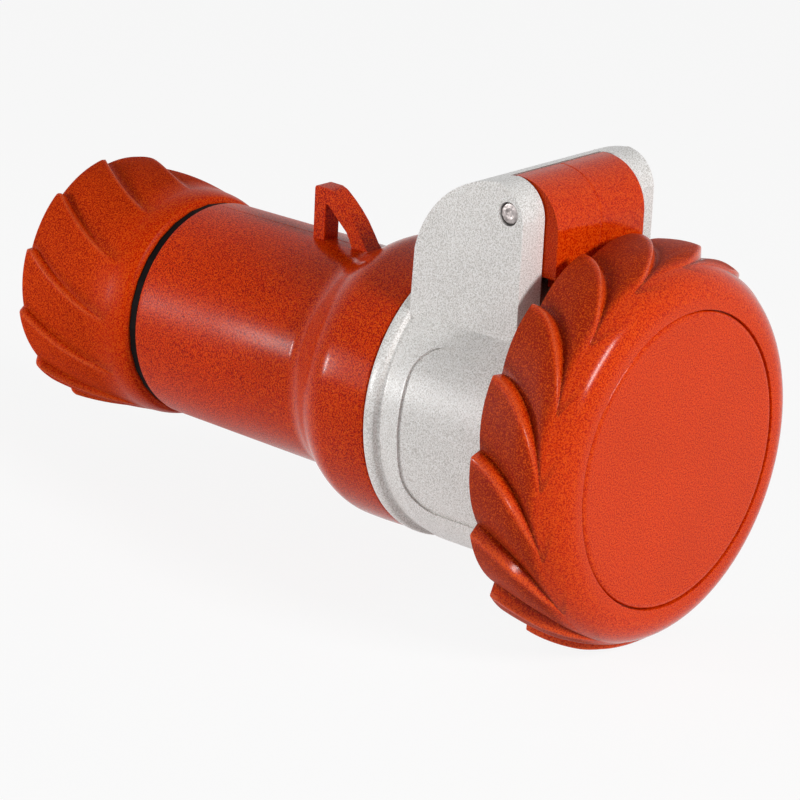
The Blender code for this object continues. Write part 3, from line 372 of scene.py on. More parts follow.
# The same plastic in light warm grey, with a salt-and-pepper look
GREY = MouldedPlastic("light_grey_polyamide_eroded", "#E8E5E1", "#B4B0AB", "#FFFFFF", "#E8E5E1",
                      0.3, Grain.FINE, speck_amount=0.75, bump=0.2, sheen_level=0.5)
# Glass-filled polyamide of the contact carrier and the clamp parts: dark, dull
DARK = MouldedPlastic("anthracite_polyamide_glass_filled", "#35363A", "#26272A", "#4C4E53",
                      "#35363A", 0.5, Grain.MEDIUM, speck_amount=0.5, bump=0.3)
# Seals and grommet are black nitrile rubber; the lid's gasket is dark grey silicone
BLACK_RUBBER = Rubber("black_nitrile_rubber", "#0B0808", sheen_level=0.05)
GREY_RUBBER = Rubber("grey_silicone_gasket", "#3A3836", 0.55)
# Turned brass of the contact sleeves: warm yellow, uneven in tint
BRASS = Metal("turned_brass", "#D8B26A", "#B98F48", 0.28)
# The pin's riveted end: dull grey steel, pitted and dark in the pits
PEENED_STEEL = Metal("peened_mild_steel", "#C3BBB9", "#5F5654", 0.38, 0.3)
# Ground stainless steel of spring and screws: cold grey, uneven in shine
STEEL = Metal("ground_stainless_steel", "#C9C1BF", "#8E8482", 0.3)


# ---- Modelling bench -----------------------------------------------------------------------

class Bench:
    """Modelling steps with Blender's operators, one call for each as done by hand."""

    @staticmethod
    def clear() -> None:
        """Leave edit mode and deselect every object."""
        if bpy.context.object and bpy.context.object.mode != "OBJECT":
            bpy.ops.object.mode_set(mode="OBJECT")
        bpy.ops.object.select_all(action="DESELECT")

    @staticmethod
    def only(obj: bpy.types.Object) -> None:
        """Select one object and make it active.

        Args:
            obj: the object.
        """
        Bench.clear()
        obj.select_set(True)
        bpy.context.view_layer.objects.active = obj

    @staticmethod
    def settle(obj: bpy.types.Object) -> bpy.types.Object:
        """Put an object's place into its mesh.

        Args:
            obj: the object, which ends at the origin, unturned and unscaled.

        Returns:
            The same object.
        """
        Bench.only(obj)
        bpy.ops.object.transform_apply(location=True, rotation=True, scale=True)
        return obj

    @staticmethod
    def lathe(name: str, profile: Profile, segments: int, closed: bool = True) -> bpy.types.Object:
        """Extrude a circle ring by ring along a profile of (radius, y), in millimetres.

        Args:
            name: the new object's name.
            profile: the points, down the outside first; a radius of 0 only at an end.
            segments: how many columns the circle has.
            closed: whether the last ring runs back to the first.

        Returns:
            The turned object, with its normals pointing out.
        """
        Bench.clear()
        # On the axis a ring is drawn this small, and is merged into one point at the end
        hub = 0.02
        points = [(max(r, hub), y) for r, y in profile]
        if closed:
            points.append(points[0])
        radius, y = points[0]
        bpy.ops.mesh.primitive_circle_add(vertices=segments, radius=radius * MM,
                                          location=(0, y * MM, 0), rotation=(math.pi / 2, 0, 0))
        obj = Bench.settle(bpy.context.active_object)
        obj.name = obj.data.name = name
        bpy.ops.object.mode_set(mode="EDIT")
        bpy.ops.mesh.select_all(action="SELECT")
        for next_radius, next_y in points[1:]:
            bpy.ops.mesh.extrude_region_move(
                TRANSFORM_OT_translate={"value": (0, (next_y - y) * MM, 0)})
            share = next_radius / radius
            bpy.ops.transform.resize(value=(share, 1, share), center_override=(0, next_y * MM, 0))
            radius, y = next_radius, next_y
        bpy.ops.mesh.select_all(action="SELECT")
        bpy.ops.mesh.remove_doubles(threshold=WELD)
        if not closed:
            for end in (profile[0], profile[-1]):
                Bench.pick_verts(lambda p, e=end: abs(p.y - e[1] * MM) < WELD
                                 and abs(math.hypot(p.x, p.z) - hub * MM) < 2 * WELD)
                bpy.ops.mesh.merge(type="CENTER")
        bpy.ops.mesh.select_all(action="SELECT")
        bpy.ops.mesh.normals_make_consistent(inside=False)
        bpy.ops.object.mode_set(mode="OBJECT")
        return obj

    @staticmethod
    def pick_verts(rule: Callable[[Vector], bool]) -> None:
        """Select, in edit mode, the vertices whose place follows a rule, and no others.

        Args:
            rule: says, from a vertex's place in metres, whether it is selected.
        """
        bpy.ops.object.mode_set(mode="OBJECT")
        mesh = bpy.context.object.data
        for polygon in mesh.polygons:
            polygon.select = False
        for edge in mesh.edges:
            edge.select = False
        for vert in mesh.vertices:
            vert.select = rule(vert.co)
        bpy.ops.object.mode_set(mode="EDIT")
        bpy.ops.mesh.select_mode(type="VERT")

    @staticmethod
    def slab(name: str, outline: Profile, low_x: float, high_x: float) -> bpy.types.Object:
        """Make a plate from a side outline of (y, z) points, in millimetres.

        Args:
            name: the new object's name.
            outline: the outline.
            low_x: where the plate starts across the body.
            high_x: where it ends.

        Returns:
            The plate as a welded mesh.
        """
        Bench.clear()
        curve = bpy.data.curves.new(name, "CURVE")
        curve.dimensions = "2D"
        curve.fill_mode = "BOTH"
        curve.extrude = (high_x - low_x) / 2 * MM
        spline = curve.splines.new("POLY")
        spline.points.add(len(outline) - 1)
        for point, (y, z) in zip(spline.points, outline):
            point.co = (y * MM, z * MM, 0.0, 1.0)
        spline.use_cyclic_u = True
        obj = bpy.data.objects.new(name, curve)
        bpy.context.scene.collection.objects.link(obj)
        middle = (high_x + low_x) / 2 * MM
        # The curve's X, Y and Z become the body's Y, Z and X
        obj.matrix_world = Matrix(((0, 0, 1, middle), (1, 0, 0, 0), (0, 1, 0, 0), (0, 0, 0, 1)))
        Bench.only(obj)
        bpy.ops.object.convert(target="MESH")
        obj = Bench.settle(bpy.context.active_object)
        bpy.ops.object.mode_set(mode="EDIT")
        bpy.ops.mesh.select_all(action="SELECT")
        bpy.ops.mesh.remove_doubles(threshold=WELD)
        bpy.ops.mesh.normals_make_consistent(inside=False)
        bpy.ops.object.mode_set(mode="OBJECT")
        return obj

    @staticmethod
    def rod(name: str, radius: float, start: tuple[float, float, float],
            end: tuple[float, float, float], segments: int = 48) -> bpy.types.Object:
        """Add a cylinder between two points, in millimetres.

        Args:
            name: the new object's name.
            radius: its radius.
            start: the middle of one end.
            end: the middle of the other end.
            segments: how many columns it has.

        Returns:
            The cylinder.
        """
        Bench.clear()
        a, b = Vector(start) * MM, Vector(end) * MM
        turn = (b - a).to_track_quat("Z", "Y").to_euler()
        bpy.ops.mesh.primitive_cylinder_add(vertices=segments, radius=radius * MM,
                                            depth=(b - a).length, location=(a + b) / 2,
                                            rotation=turn)
        obj = Bench.settle(bpy.context.active_object)
        obj.name = obj.data.name = name
        return obj

    @staticmethod
    def box(name: str, low: tuple[float, float, float],
            high: tuple[float, float, float]) -> bpy.types.Object:
        """Add a box between two corners, in millimetres.

        Args:
            name: the new object's name.
            low: the corner with the lowest coordinates.
            high: the corner with the highest.

        Returns:
            The box.
        """
        Bench.clear()
        a, b = Vector(low) * MM, Vector(high) * MM
        bpy.ops.mesh.primitive_cube_add(size=1.0, location=(a + b) / 2, scale=b - a)
        obj = Bench.settle(bpy.context.active_object)
        obj.name = obj.data.name = name
        return obj

    @staticmethod
    def round_edges(obj: bpy.types.Object, width: float, segments: int = 3,
                    angle: float = 40.0) -> bpy.types.Object:
        """Round an object's sharp edges with an applied Bevel.

        Args:
            obj: the piece.
            width: the bevel's width in millimetres.
            segments: how many faces go round an edge.
            angle: edges that turn by more than this, in degrees, are rounded.

        Returns:
            The same piece.
        """
        Bench.only(obj)
        bevel = obj.modifiers.new("round", "BEVEL")
        bevel.width = width * MM
        bevel.segments = segments
        bevel.limit_method = "ANGLE"
        bevel.angle_limit = math.radians(angle)
        bpy.ops.object.modifier_apply(modifier=bevel.name)
        return obj

    @staticmethod
    def combine(obj: bpy.types.Object, tool: bpy.types.Object, step: Step) -> bpy.types.Object:
        """Apply a Boolean with a tool, and remove the tool.

        Args:
            obj: the piece that is worked on.
            tool: the object that is added, cut out or kept.
            step: what is done with the tool.

        Returns:
            The same piece.
        """
        Bench.only(obj)
        boolean = obj.modifiers.new("combine", "BOOLEAN")
        boolean.operation = step.value
        boolean.solver = "EXACT"
        boolean.object = tool
        bpy.ops.object.modifier_apply(modifier=boolean.name)
        bpy.data.objects.remove(tool, do_unlink=True)
        return obj

    @staticmethod
    def merge(name: str, pieces: list[bpy.types.Object]) -> bpy.types.Object:
        """Join several meshes into one object.

        Args:
            name: the name of the result.
            pieces: the meshes, which end with the first of them.

        Returns:
            The joined object.
        """
        Bench.clear()
        for piece in pieces:
            piece.select_set(True)
        bpy.context.view_layer.objects.active = pieces[0]
        bpy.ops.object.join()
        obj = bpy.context.active_object
        obj.name = obj.data.name = name
        return obj

    @staticmethod
    def score(obj: bpy.types.Object, width: float, depth: float,
              reach: Callable[[Vector], bool]) -> bpy.types.Object:
        """Draw the mould's parting line as a fine groove in the middle plane.

        Args:
            obj: the moulding.
            width: the groove's width in millimetres.
            depth: its depth in millimetres.
            reach: which places, in metres, the groove runs over.

        Returns:
            The same object.
        """
        Bench.only(obj)
        bpy.ops.object.mode_set(mode="EDIT")
        for x in (-width, -width / 2, 0.0, width / 2, width):
            bpy.ops.mesh.select_all(action="SELECT")
            bpy.ops.mesh.bisect(plane_co=(x * MM, 0, 0), plane_no=(1, 0, 0))
        bpy.ops.object.mode_set(mode="OBJECT")
        for vert in obj.data.vertices:
            if abs(vert.co.x) < WELD and reach(vert.co):
                normal = vert.normal.copy()
                normal.x = 0.0
                vert.co -= normal.normalized() * depth * MM
        obj.data.update()
        return obj

    @staticmethod
    def smooth(obj: bpy.types.Object, angle: float = 35.0) -> bpy.types.Object:
        """Shade smooth, with sharper edges kept crisp and flat faces kept flat.

        Args:
            obj: the piece.
            angle: edges that turn by more than this, in degrees, stay crisp.

        Returns:
            The same piece.
        """
        Bench.only(obj)
        bpy.ops.object.shade_smooth_by_angle(angle=math.radians(angle))
        even = obj.modifiers.new("even", "WEIGHTED_NORMAL")
        even.keep_sharp = True
        bpy.ops.object.modifier_apply(modifier=even.name)
        return obj

    @staticmethod
    def dress(obj: bpy.types.Object, material: bpy.types.Material) -> bpy.types.Object:
        """Give an object one material.

        Args:
            obj: the object.
            material: its only material.

        Returns:
            The same object.
        """
        obj.data.materials.clear()
        obj.data.materials.append(material)
        return obj


# ---- Leaf grips ----------------------------------------------------------------------------

@dataclass(frozen=True)
class Row:
    """One ring of a leaf-grip cup: its size, how far the leaf's edge has run, how high it is."""

    radius: float
    y: float
    sweep: float = 0.0
    rise: float = 0.0


@dataclass
class LeafGrip:
    """Overlapping leaves pushed out of a turned cup.

    Each leaf starts at its foot with a steep step, then slopes down into the valley before the
    next foot, which is scooped a little below the cup. Angles are degrees from the top towards
    -X, and shares run from 0 at a leaf's foot to 1 at the next.
    """

    leaves: int
    first_foot: float
    step_share: float
    valley: float = 0.25
    fullness: float = 2.0
    # How strongly painted shade darkens the valleys
    valley_shade_strength: float = 0.9
    run_out: float = 4.0
    step_columns: int = 8
    slope_columns: int = 12
    slope_spacing: float = 1.3
    flank: float = 0.75
    flank_slope: float = 1.2
    crest_rise: float = 0.1
    # Where the painted valley shade starts before the next foot, how far it grows, and how far up
    # the step it reaches
    shade_start: float = 0.78
    shade_width: float = 0.17
    foot_shade: float = 0.4

    def columns(self) -> list[float]:
        """Space the columns of one leaf.

        Returns:
            The columns' places, from 0 at the leaf's foot to 1 at the next.
        """
        step = [self.step_share * i / self.step_columns for i in range(self.step_columns + 1)]
        shares = [(i / self.slope_columns) ** self.slope_spacing
                  for i in range(1, self.slope_columns)]
        return step + [self.step_share + (1.0 - self.step_share) * share for share in shares]

    def height(self, place: float) -> float:
        """Return how high the leaf stands at a place across it.

        Args:
            place: the place, from 0 at the leaf's foot to 1 at the next.

        Returns:
            The height, as a share of the leaf's crest.
        """
        if place <= self.step_share:
            share = place / self.step_share
            crest = math.sin(math.pi / 2 * max(0.0, share - self.flank) / (1.0 - self.flank))
            rise = min(share, self.flank) * self.flank_slope + self.crest_rise * crest
            return (1.0 + self.valley) * rise - self.valley
        share = (place - self.step_share) / (1.0 - self.step_share)
        return 1.0 - (1.0 + self.valley) * share ** self.fullness

    def push_out(self, obj: bpy.types.Object, rows: list[Row]) -> None:
        """Move a turned cup's vertices on to the leaves, and mark grips, crests and valleys.

        Args:
            obj: the cup, turned with as many columns as segments() says.
            rows: the cup's rings, as it was turned.
        """
        places = self.columns()
        heights = [self.height(place) for place in places]
        pitch = 360.0 / self.leaves
        mesh = obj.data
        points = np.empty(len(mesh.vertices) * 3)
        mesh.vertices.foreach_get("co", points)
        points = points.reshape(-1, 3) / MM
        radii = np.hypot(points[:, 0], points[:, 2])
        table = np.array([(row.radius, row.y) for row in rows])
        distance = np.hypot(radii[:, None] - table[None, :, 0],
                            points[:, 1, None] - table[None, :, 1])
        nearest = distance.argmin(axis=1)
        angles = np.degrees(np.arctan2(-points[:, 0], points[:, 2]))
        index = np.round(angles / (pitch / len(places))).astype(int) % (self.leaves * len(places))
        leaf, column = np.divmod(index, len(places))
        sweep = np.array([row.sweep for row in rows])[nearest]
        rise = np.array([row.rise for row in rows])[nearest]
        place = np.array(places)[column]
        turn = np.radians(self.first_foot + pitch * (leaf + place) + sweep)
        reach = radii + rise * np.array(heights)[column]
        points[:, 0] = -reach * np.sin(turn)
        points[:, 2] = reach * np.cos(turn)
        mesh.vertices.foreach_set("co", (points * MM).ravel())
        mesh.update()
        # The slopes between the rounded steps are grip faces, and fade out with the leaves
        slope = np.clip((place - self.step_share) / self.step_share, 0.0, 1.0)
        fade = np.clip(rise / max(row.rise for row in rows) * 2.5, 0.0, 1.0)
        # Painted shade lies in front of the next leaf's foot and runs out past the leaves' ends
        front = max(row.y for row in rows if row.rise == 0.0 and row.sweep > 0.0)
        run_out = np.clip(1.0 - (front + 1.0 - points[:, 1]) / self.run_out, 0.0, 1.0)
        foot = np.clip((place - self.shade_start) / self.shade_width, 0.0, 1.0)
        foot = np.maximum(foot, np.clip(1.0 - place / self.step_share / self.foot_shade, 0.0, 1.0))
        # The steps' rounded edges are painted a little paler: a painted highlight
        crest = np.clip(1.6 - np.abs(place / self.step_share - 0.85) * 3.0, 0.0, 1.0) * fade
        # The valley mark carries painted shade, and the crest mark a painted highlight
        for name, values in (("grip", slope * fade), ("valley", foot * run_out * self.valley_shade_strength),
                             ("crest", crest)):
            mask = mesh.attributes.new(name, "FLOAT", "POINT")
            mask.data.foreach_set("value", values.astype(np.float32))

    def segments(self) -> int:
        """Return how many columns the cup must be turned with."""
        return self.leaves * len(self.columns())


@dataclass
class BayonetRing:
    """The cap's turning ring: a domed cup with sixteen overlapping leaf grips."""

    radius: float = 44.2
    bulge: float = 0.8
    depth: float = 22.0
    wall: float = 2.4
    dome_radius: float = 36.0
    dome_depth: float = 9.0
    disc_radius: float = 34.0
    lip_bore: float = 30.3
    lip_front: float = 1.8
    lip_rear: float = 3.4
    leaf_rise: float = 2.2
    leaf_sweep: float = 33.0
    leaf_end: float = 4.9
    leaf_curl: float = 86.0
    leaf_fade: float = 0.4
    grip_rows: int = 44
    dome_rows: int = 15
    disc_gap: float = 0.25
    bulge_from_rear: float = 6.0
    grip: LeafGrip = field(default_factory=lambda: LeafGrip(16, -9.3, 0.085))

    def skin(self, y: float) -> float:
        """Return the cup's outer radius without its leaves.

        Args:
            y: the depth behind the face, in millimetres.

        Returns:
            The radius in millimetres.
        """
        if y >= self.dome_depth:
            middle = self.depth - self.bulge_from_rear
            reach = middle - self.dome_depth
            return self.radius + self.bulge * (1.0 - ((y - middle) / reach) ** 2)
        turn = math.acos(1.0 - y / self.dome_depth)
        return self.dome_radius + (self.radius - self.dome_radius) * math.sin(turn)

    def rows(self) -> list[Row]:
        """Draw the section from the rear edge over the dome to the face and back inside.

        Returns:
            The cup's rings in that order.
        """
        run = self.depth - self.leaf_end
        rows = [Row(self.skin(self.depth) - 0.9, self.depth, 0.0, self.leaf_rise * 0.7),
                Row(self.skin(self.depth) - 0.45, self.depth - 0.08, 0.0, self.leaf_rise * 0.82),
                Row(self.skin(self.depth) - 0.12, self.depth - 0.3, 0.0, self.leaf_rise * 0.94)]
        for index in range(1, self.grip_rows + 1):
            turn = math.radians(self.leaf_curl) * index / self.grip_rows
            # The leaves' edges curl over: the nearer the face, the faster they sweep
            share = math.sin(turn) ** 1.15 * 1.012
            y = self.depth - min(share, 1.0) * run
            fade = min(1.0, max(0.0, 1.0 - share) / self.leaf_fade)
            rise = self.leaf_rise * math.sin(math.pi / 2 * fade)
            rows.append(Row(self.skin(y), y, self.leaf_sweep * (1.0 - math.cos(turn)), rise))
        last = rows[-1]
        for index in range(1, self.dome_rows):
            share = index / self.dome_rows
            turn = math.acos(1.0 - last.y / self.dome_depth) * (1.0 - share)
            y = self.dome_depth * (1.0 - math.cos(turn))
            radius = self.dome_radius + (self.radius - self.dome_radius) * math.sin(turn)
            rows.append(Row(radius, y, last.sweep * (1.0 - share)))
        bore = self.radius - self.wall
        edge = self.disc_radius + self.disc_gap
        inside = [(self.dome_radius, 0.0), (edge + 0.35, 0.0), (edge + 0.1, 0.08), (edge, 0.35),
                  (edge, self.lip_front), (self.lip_bore, self.lip_front),
                  (self.lip_bore, self.lip_rear), (bore - 2.4, self.lip_rear),
                  (bore - 1.2, self.lip_rear + 0.35), (bore - 0.3, self.lip_rear + 1.2),
                  (bore, self.lip_rear + 2.4), (bore, self.depth - 0.4), (bore + 0.4, self.depth)]
        return rows + [Row(r, y) for r, y in inside]

    def build(self) -> bpy.types.Object:
        """Model the ring.

        Returns:
            The ring, with its leaves marked.
        """
        rows = self.rows()
        ring = Bench.lathe("cap_ring", [(row.radius, row.y) for row in rows],
                           self.grip.segments())
        self.grip.push_out(ring, rows)
        return Bench.smooth(ring, 42.0)


@dataclass
class GlandNut:
    """The cable gland's nut: a barrel-shaped cap with twelve leaf grips."""

    front_y: float = 146.5
    rear_y: float = 182.0
    lip_radius: float = 26.2
    front_radius: float = 27.9
    rear_radius: float = 29.4
    leaf_rise: float = 1.75
    leaf_sweep: float = 23.7
    tip_setback: float = 3.5
    leaf_end: float = 6.5
    thread_bore: float = 24.3
    bore_end: float = 164.3
    throat: float = 19.8
    hole: float = 12.0
    cone_end: float = 176.8
    hole_end: float = 178.9
    rear_round: tuple[float, float] = (4.2, 3.0)
    rear_rows: int = 7
    grip_rows: int = 36
    lip_rows: int = 12
    leaf_fade: float = 0.95
    grip: LeafGrip = field(default_factory=lambda: LeafGrip(12, 5.0, 0.06, 0.1, 1.2, 0.35))

    def rows(self) -> list[Row]:
        """Draw the section from the rear face along the grips and back inside.

        Returns:
            The nut's rings in that order.
        """
        rows = []
        across, along = self.rear_round
        for index in range(self.rear_rows):
            turn = math.radians(90.0 * index / self.rear_rows)
            rows.append(Row(self.rear_radius - across * (1.0 - math.sin(turn)),
                            self.rear_y - along * (1.0 - math.cos(turn)),
                            0.0, self.leaf_rise * 0.9 * math.sin(turn)))
        tip_y = self.rear_y - self.tip_setback
        end_y = self.front_y + self.leaf_end
        for index in range(self.grip_rows + 1):
            share = index / self.grip_rows
            fade = min(1.0, (1.0 - share) / self.leaf_fade)
            rise = self.leaf_rise * math.sin(math.pi / 2 * fade)
            taper = (self.rear_radius - self.front_radius) * 0.75 * share ** 1.6
            # The leaves' edges sweep fastest near their rear tips
            rows.append(Row(self.rear_radius - taper, tip_y + (end_y - tip_y) * share,
                            self.leaf_sweep * (1.35 * share - 0.35 * share * share), rise))
        last = rows[-1]
        for index in range(1, self.lip_rows + 1):
            share = index / self.lip_rows
            turn = math.radians(90.0 * share)
            drop = (last.radius - self.lip_radius - 0.5) * (1.0 - math.cos(turn))
            y = last.y - (self.leaf_end - 0.5) * math.sin(turn) ** 1.1
            rows.append(Row(last.radius - drop, y, self.leaf_sweep * (1.0 - share)))
        inside = [(self.lip_radius, self.front_y), (self.lip_radius - 0.5, self.front_y),
                  (self.thread_bore, self.front_y), (self.thread_bore, self.bore_end),
                  (self.throat, self.bore_end), (self.throat, self.bore_end + 2.0),
                  (self.hole + 2.6, self.cone_end), (self.hole, self.cone_end),
                  (self.hole, self.hole_end),
                  (self.hole + 0.6, 179.6), (self.hole + 3.5, self.rear_y)]
        return rows + [Row(r, y) for r, y in inside]

    def build(self) -> bpy.types.Object:
        """Model the nut.

        Returns:
            The nut, with its leaves marked.
        """
        rows = self.rows()
        nut = Bench.lathe("gland_cap", [(row.radius, row.y) for row in rows],
                          self.grip.segments())
        self.grip.push_out(nut, rows)
        return Bench.smooth(nut, 40.0)


# ---- Plain turned and plated pieces --------------------------------------------------------

@dataclass
class FaceDisc:
    """The flat disc let into the ring's face, with a fine gap round it."""

    radius: float = 34.0
    thickness: float = 1.5
    hub_radius: float = 30.0
    hub_rear: float = 3.4
    spigot_radius: float = 8.0
    spigot_rear: float = 7.7

    def build(self) -> bpy.types.Object:
        """Model the disc.

        Returns:
            The disc with its hub and spigot.
        """
        profile = [(0.0, 0.0), (20.0, 0.0), (self.radius - 1.7, 0.0), (self.radius - 1.3, 0.0),
                   (self.radius - 0.95, 0.03), (self.radius - 0.6, 0.12),
                   (self.radius - 0.3, 0.28), (self.radius - 0.1, 0.5),
                   (self.radius, 0.8), (self.radius, self.thickness),
                   (self.hub_radius, self.thickness), (self.hub_radius, self.hub_rear),
                   (self.spigot_radius, self.hub_rear), (self.spigot_radius, self.spigot_rear),
                   (0.0, self.spigot_rear)]
        disc = Bench.lathe("face_disc", profile, 192, closed=False)
        return Bench.smooth(disc)


# The suspension eye's side outline and its hole above the tube, as (y, z) in millimetres
EYE_OUTLINE: Profile = [(109.3, 38.9), (109.1, 39.4), (108.6, 39.55), (104.9, 39.5), (103.3, 38.9),
                        (100.7, 37.0), (98.4, 35.0), (96.3, 32.8), (94.4, 30.2), (92.9, 28.0),
                        (91.4, 26.6)]
EYE_HOLE: Profile = [(105.8, 34.9), (105.55, 35.5), (105.0, 35.5), (104.2, 34.9), (101.2, 32.2),
                     (98.9, 30.2), (97.9, 28.6), (97.2, 26.9)]


@dataclass
class Handle:
    """The red handle: collar, flare, grip tube, thread, gland seat and suspension eye."""

    front_y: float = 63.9
    collar_radius: float = 33.9
    collar_end: float = 75.6
    flare_end: float = 94.0
    radius: float = 27.0
    rear_radius: float = 26.5
    rear_y: float = 144.0
    wall: float = 2.9
    thread_radius: float = 24.0
    thread_end: float = 164.0
    thread_pitch: float = 3.0
    gland_bore: float = 19.5
    thread_depth: float = 0.9
    gland_bore_end: float = 152.0
    gland_seat: float = 149.5
    gland_throat: float = 15.5
    eye_half_width: float = 2.5
    crown: float = 0.25
    crown_drop: float = 0.3
    collar_rows: int = 9
    flare_rows: int = 24
    grip_mark: float = 0.45
    grip_fade: float = 10.0

    def outside(self) -> Profile:
        """Draw the outer section from the collar's front to the thread's end.

        Returns:
            The section as (radius, y) points.
        """
        points = [(self.collar_radius - 0.5, self.front_y),
                  (self.collar_radius - 0.15, self.front_y + 0.12),
                  (self.collar_radius - 0.02, self.front_y + 0.5)]
        start = self.front_y + 0.5
        # The collar is crowned: it is widest a little in front of the flare
        crest = self.collar_end - 3.0
        for index in range(1, self.collar_rows):
            y = start + (self.collar_end - self.front_y - 0.5) * index / self.collar_rows
            away = ((y - crest) / (crest - self.front_y)) ** 2
            points.append((self.collar_radius + self.crown - self.crown_drop * away, y))
        drop = self.collar_radius - self.radius
        for index in range(self.flare_rows + 1):
            share = index / self.flare_rows
            ease = (1.0 - math.cos(math.pi * share ** 1.12)) / 2
            points.append((self.collar_radius + 0.21 - (drop + 0.21) * ease,
                           self.collar_end + (self.flare_end - self.collar_end) * share))
        points += [(self.rear_radius + 0.25, 120.0), (self.rear_radius + 0.05, self.rear_y - 2.0),
                   (self.rear_radius, self.rear_y - 0.7),
                   (self.rear_radius - 0.15, self.rear_y - 0.2),
                   (self.rear_radius - 0.5, self.rear_y), (self.thread_radius - 0.8, self.rear_y)]
        root = self.thread_radius - self.thread_depth
        y = self.rear_y + 3.0
        while y < self.thread_end - self.thread_pitch:
            points += [(root, y), (self.thread_radius, y + 0.5), (self.thread_radius, y + 1.1),
                       (root, y + 1.7)]
            y += self.thread_pitch
        return points + [(root, self.thread_end)]

    def inside(self) -> Profile:
        """Draw the inner section from the gland's seat back to the collar.

        Returns:
            The section as (radius, y) points.
        """
        bore = self.radius - self.wall
        collar_bore = self.collar_radius - self.wall
        return [(self.gland_bore, self.thread_end), (self.gland_bore, self.gland_bore_end),
                (self.gland_throat, self.gland_bore_end), (self.gland_throat, self.gland_seat),
                (self.gland_bore + 1.0, self.gland_seat), (self.gland_bore + 1.0, self.rear_y),
                (bore, self.rear_y - 3.0), (bore, self.flare_end - 1.5),
                (collar_bore, self.collar_end - 1.0), (collar_bore, self.front_y)]

    def eye(self) -> bpy.types.Object:
        """Model the suspension eye: an upright leg, a short top and a slanted strut.

        Returns:
            The eye, with rounded edges.
        """
        base = self.radius - 1.8
        outline = [(EYE_OUTLINE[0][0], base), *EYE_OUTLINE, (EYE_OUTLINE[-1][0], base)]
        hole = [(EYE_HOLE[0][0], base - 1.0), *EYE_HOLE, (EYE_HOLE[-1][0], base - 1.0)]
        eye = Bench.slab("eye", outline, -self.eye_half_width, self.eye_half_width)
        eye = Bench.combine(eye, Bench.slab("eye_hole", hole, -5.0, 5.0), Step.CUT)
        return Bench.round_edges(eye, 0.55, 3, 30.0)

    def build(self) -> bpy.types.Object:
        """Model the handle in one moulding with its eye.

        Returns:
            The handle.
        """
        tube = Bench.lathe("tube", self.outside() + self.inside(), COLUMNS)
        tube = Bench.score(tube, 0.32, 0.12, self.on_seam)
        handle = Bench.merge("handle_shell", [tube, self.eye()])
        self.mark_grip(handle.data)
        return Bench.smooth(handle)

    def on_seam(self, place: Vector) -> bool:
        """Return whether a place is on the outer skin's top, where the mould parts.

        Args:
            place: the place in metres.

        Returns:
            Whether the parting groove runs over it.
        """
        return (place.z > (self.radius - 2.0) * MM and place.y < (self.rear_y - 1.0) * MM
                and place.y > (self.front_y + 1.0) * MM
                and math.hypot(place.x, place.z) > self.skin_floor(place.y))

    def mark_grip(self, mesh: bpy.types.Mesh) -> None:
        """Mark the tube behind the flare as the duller grip; collar and flare stay polished.

        Args:
            mesh: the handle's mesh.
        """
        points = np.empty(len(mesh.vertices) * 3)
        mesh.vertices.foreach_get("co", points)
        share = np.clip((points[1::3] / MM - self.flare_end) / self.grip_fade, 0.0, 1.0)
        mask = mesh.attributes.new("grip", "FLOAT", "POINT")
        mask.data.foreach_set("value", (share * self.grip_mark).astype(np.float32))

    def skin_floor(self, y: float) -> float:
        """Return a radius that parts the outer skin from the bore.

        Args:
            y: the place along the body, in metres.

        Returns:
            The radius in metres.
        """
        if y < self.collar_end * MM:
            return (self.collar_radius - 1.5) * MM
        return (self.rear_radius - 1.5) * MM


# How the barrel narrows to the neck and widens to the flange: (past its radius, y) in millimetres
NECK_AND_FLANGE: Profile = [(-0.55, 57.2), (-0.85, 58.9), (-0.95, 59.6), (-0.8, 60.05),
                            (-0.35, 60.3), (0.15, 60.6), (0.4, 61.1), (0.45, 61.8), (0.4, 62.8),
                            (0.2, 63.35)]


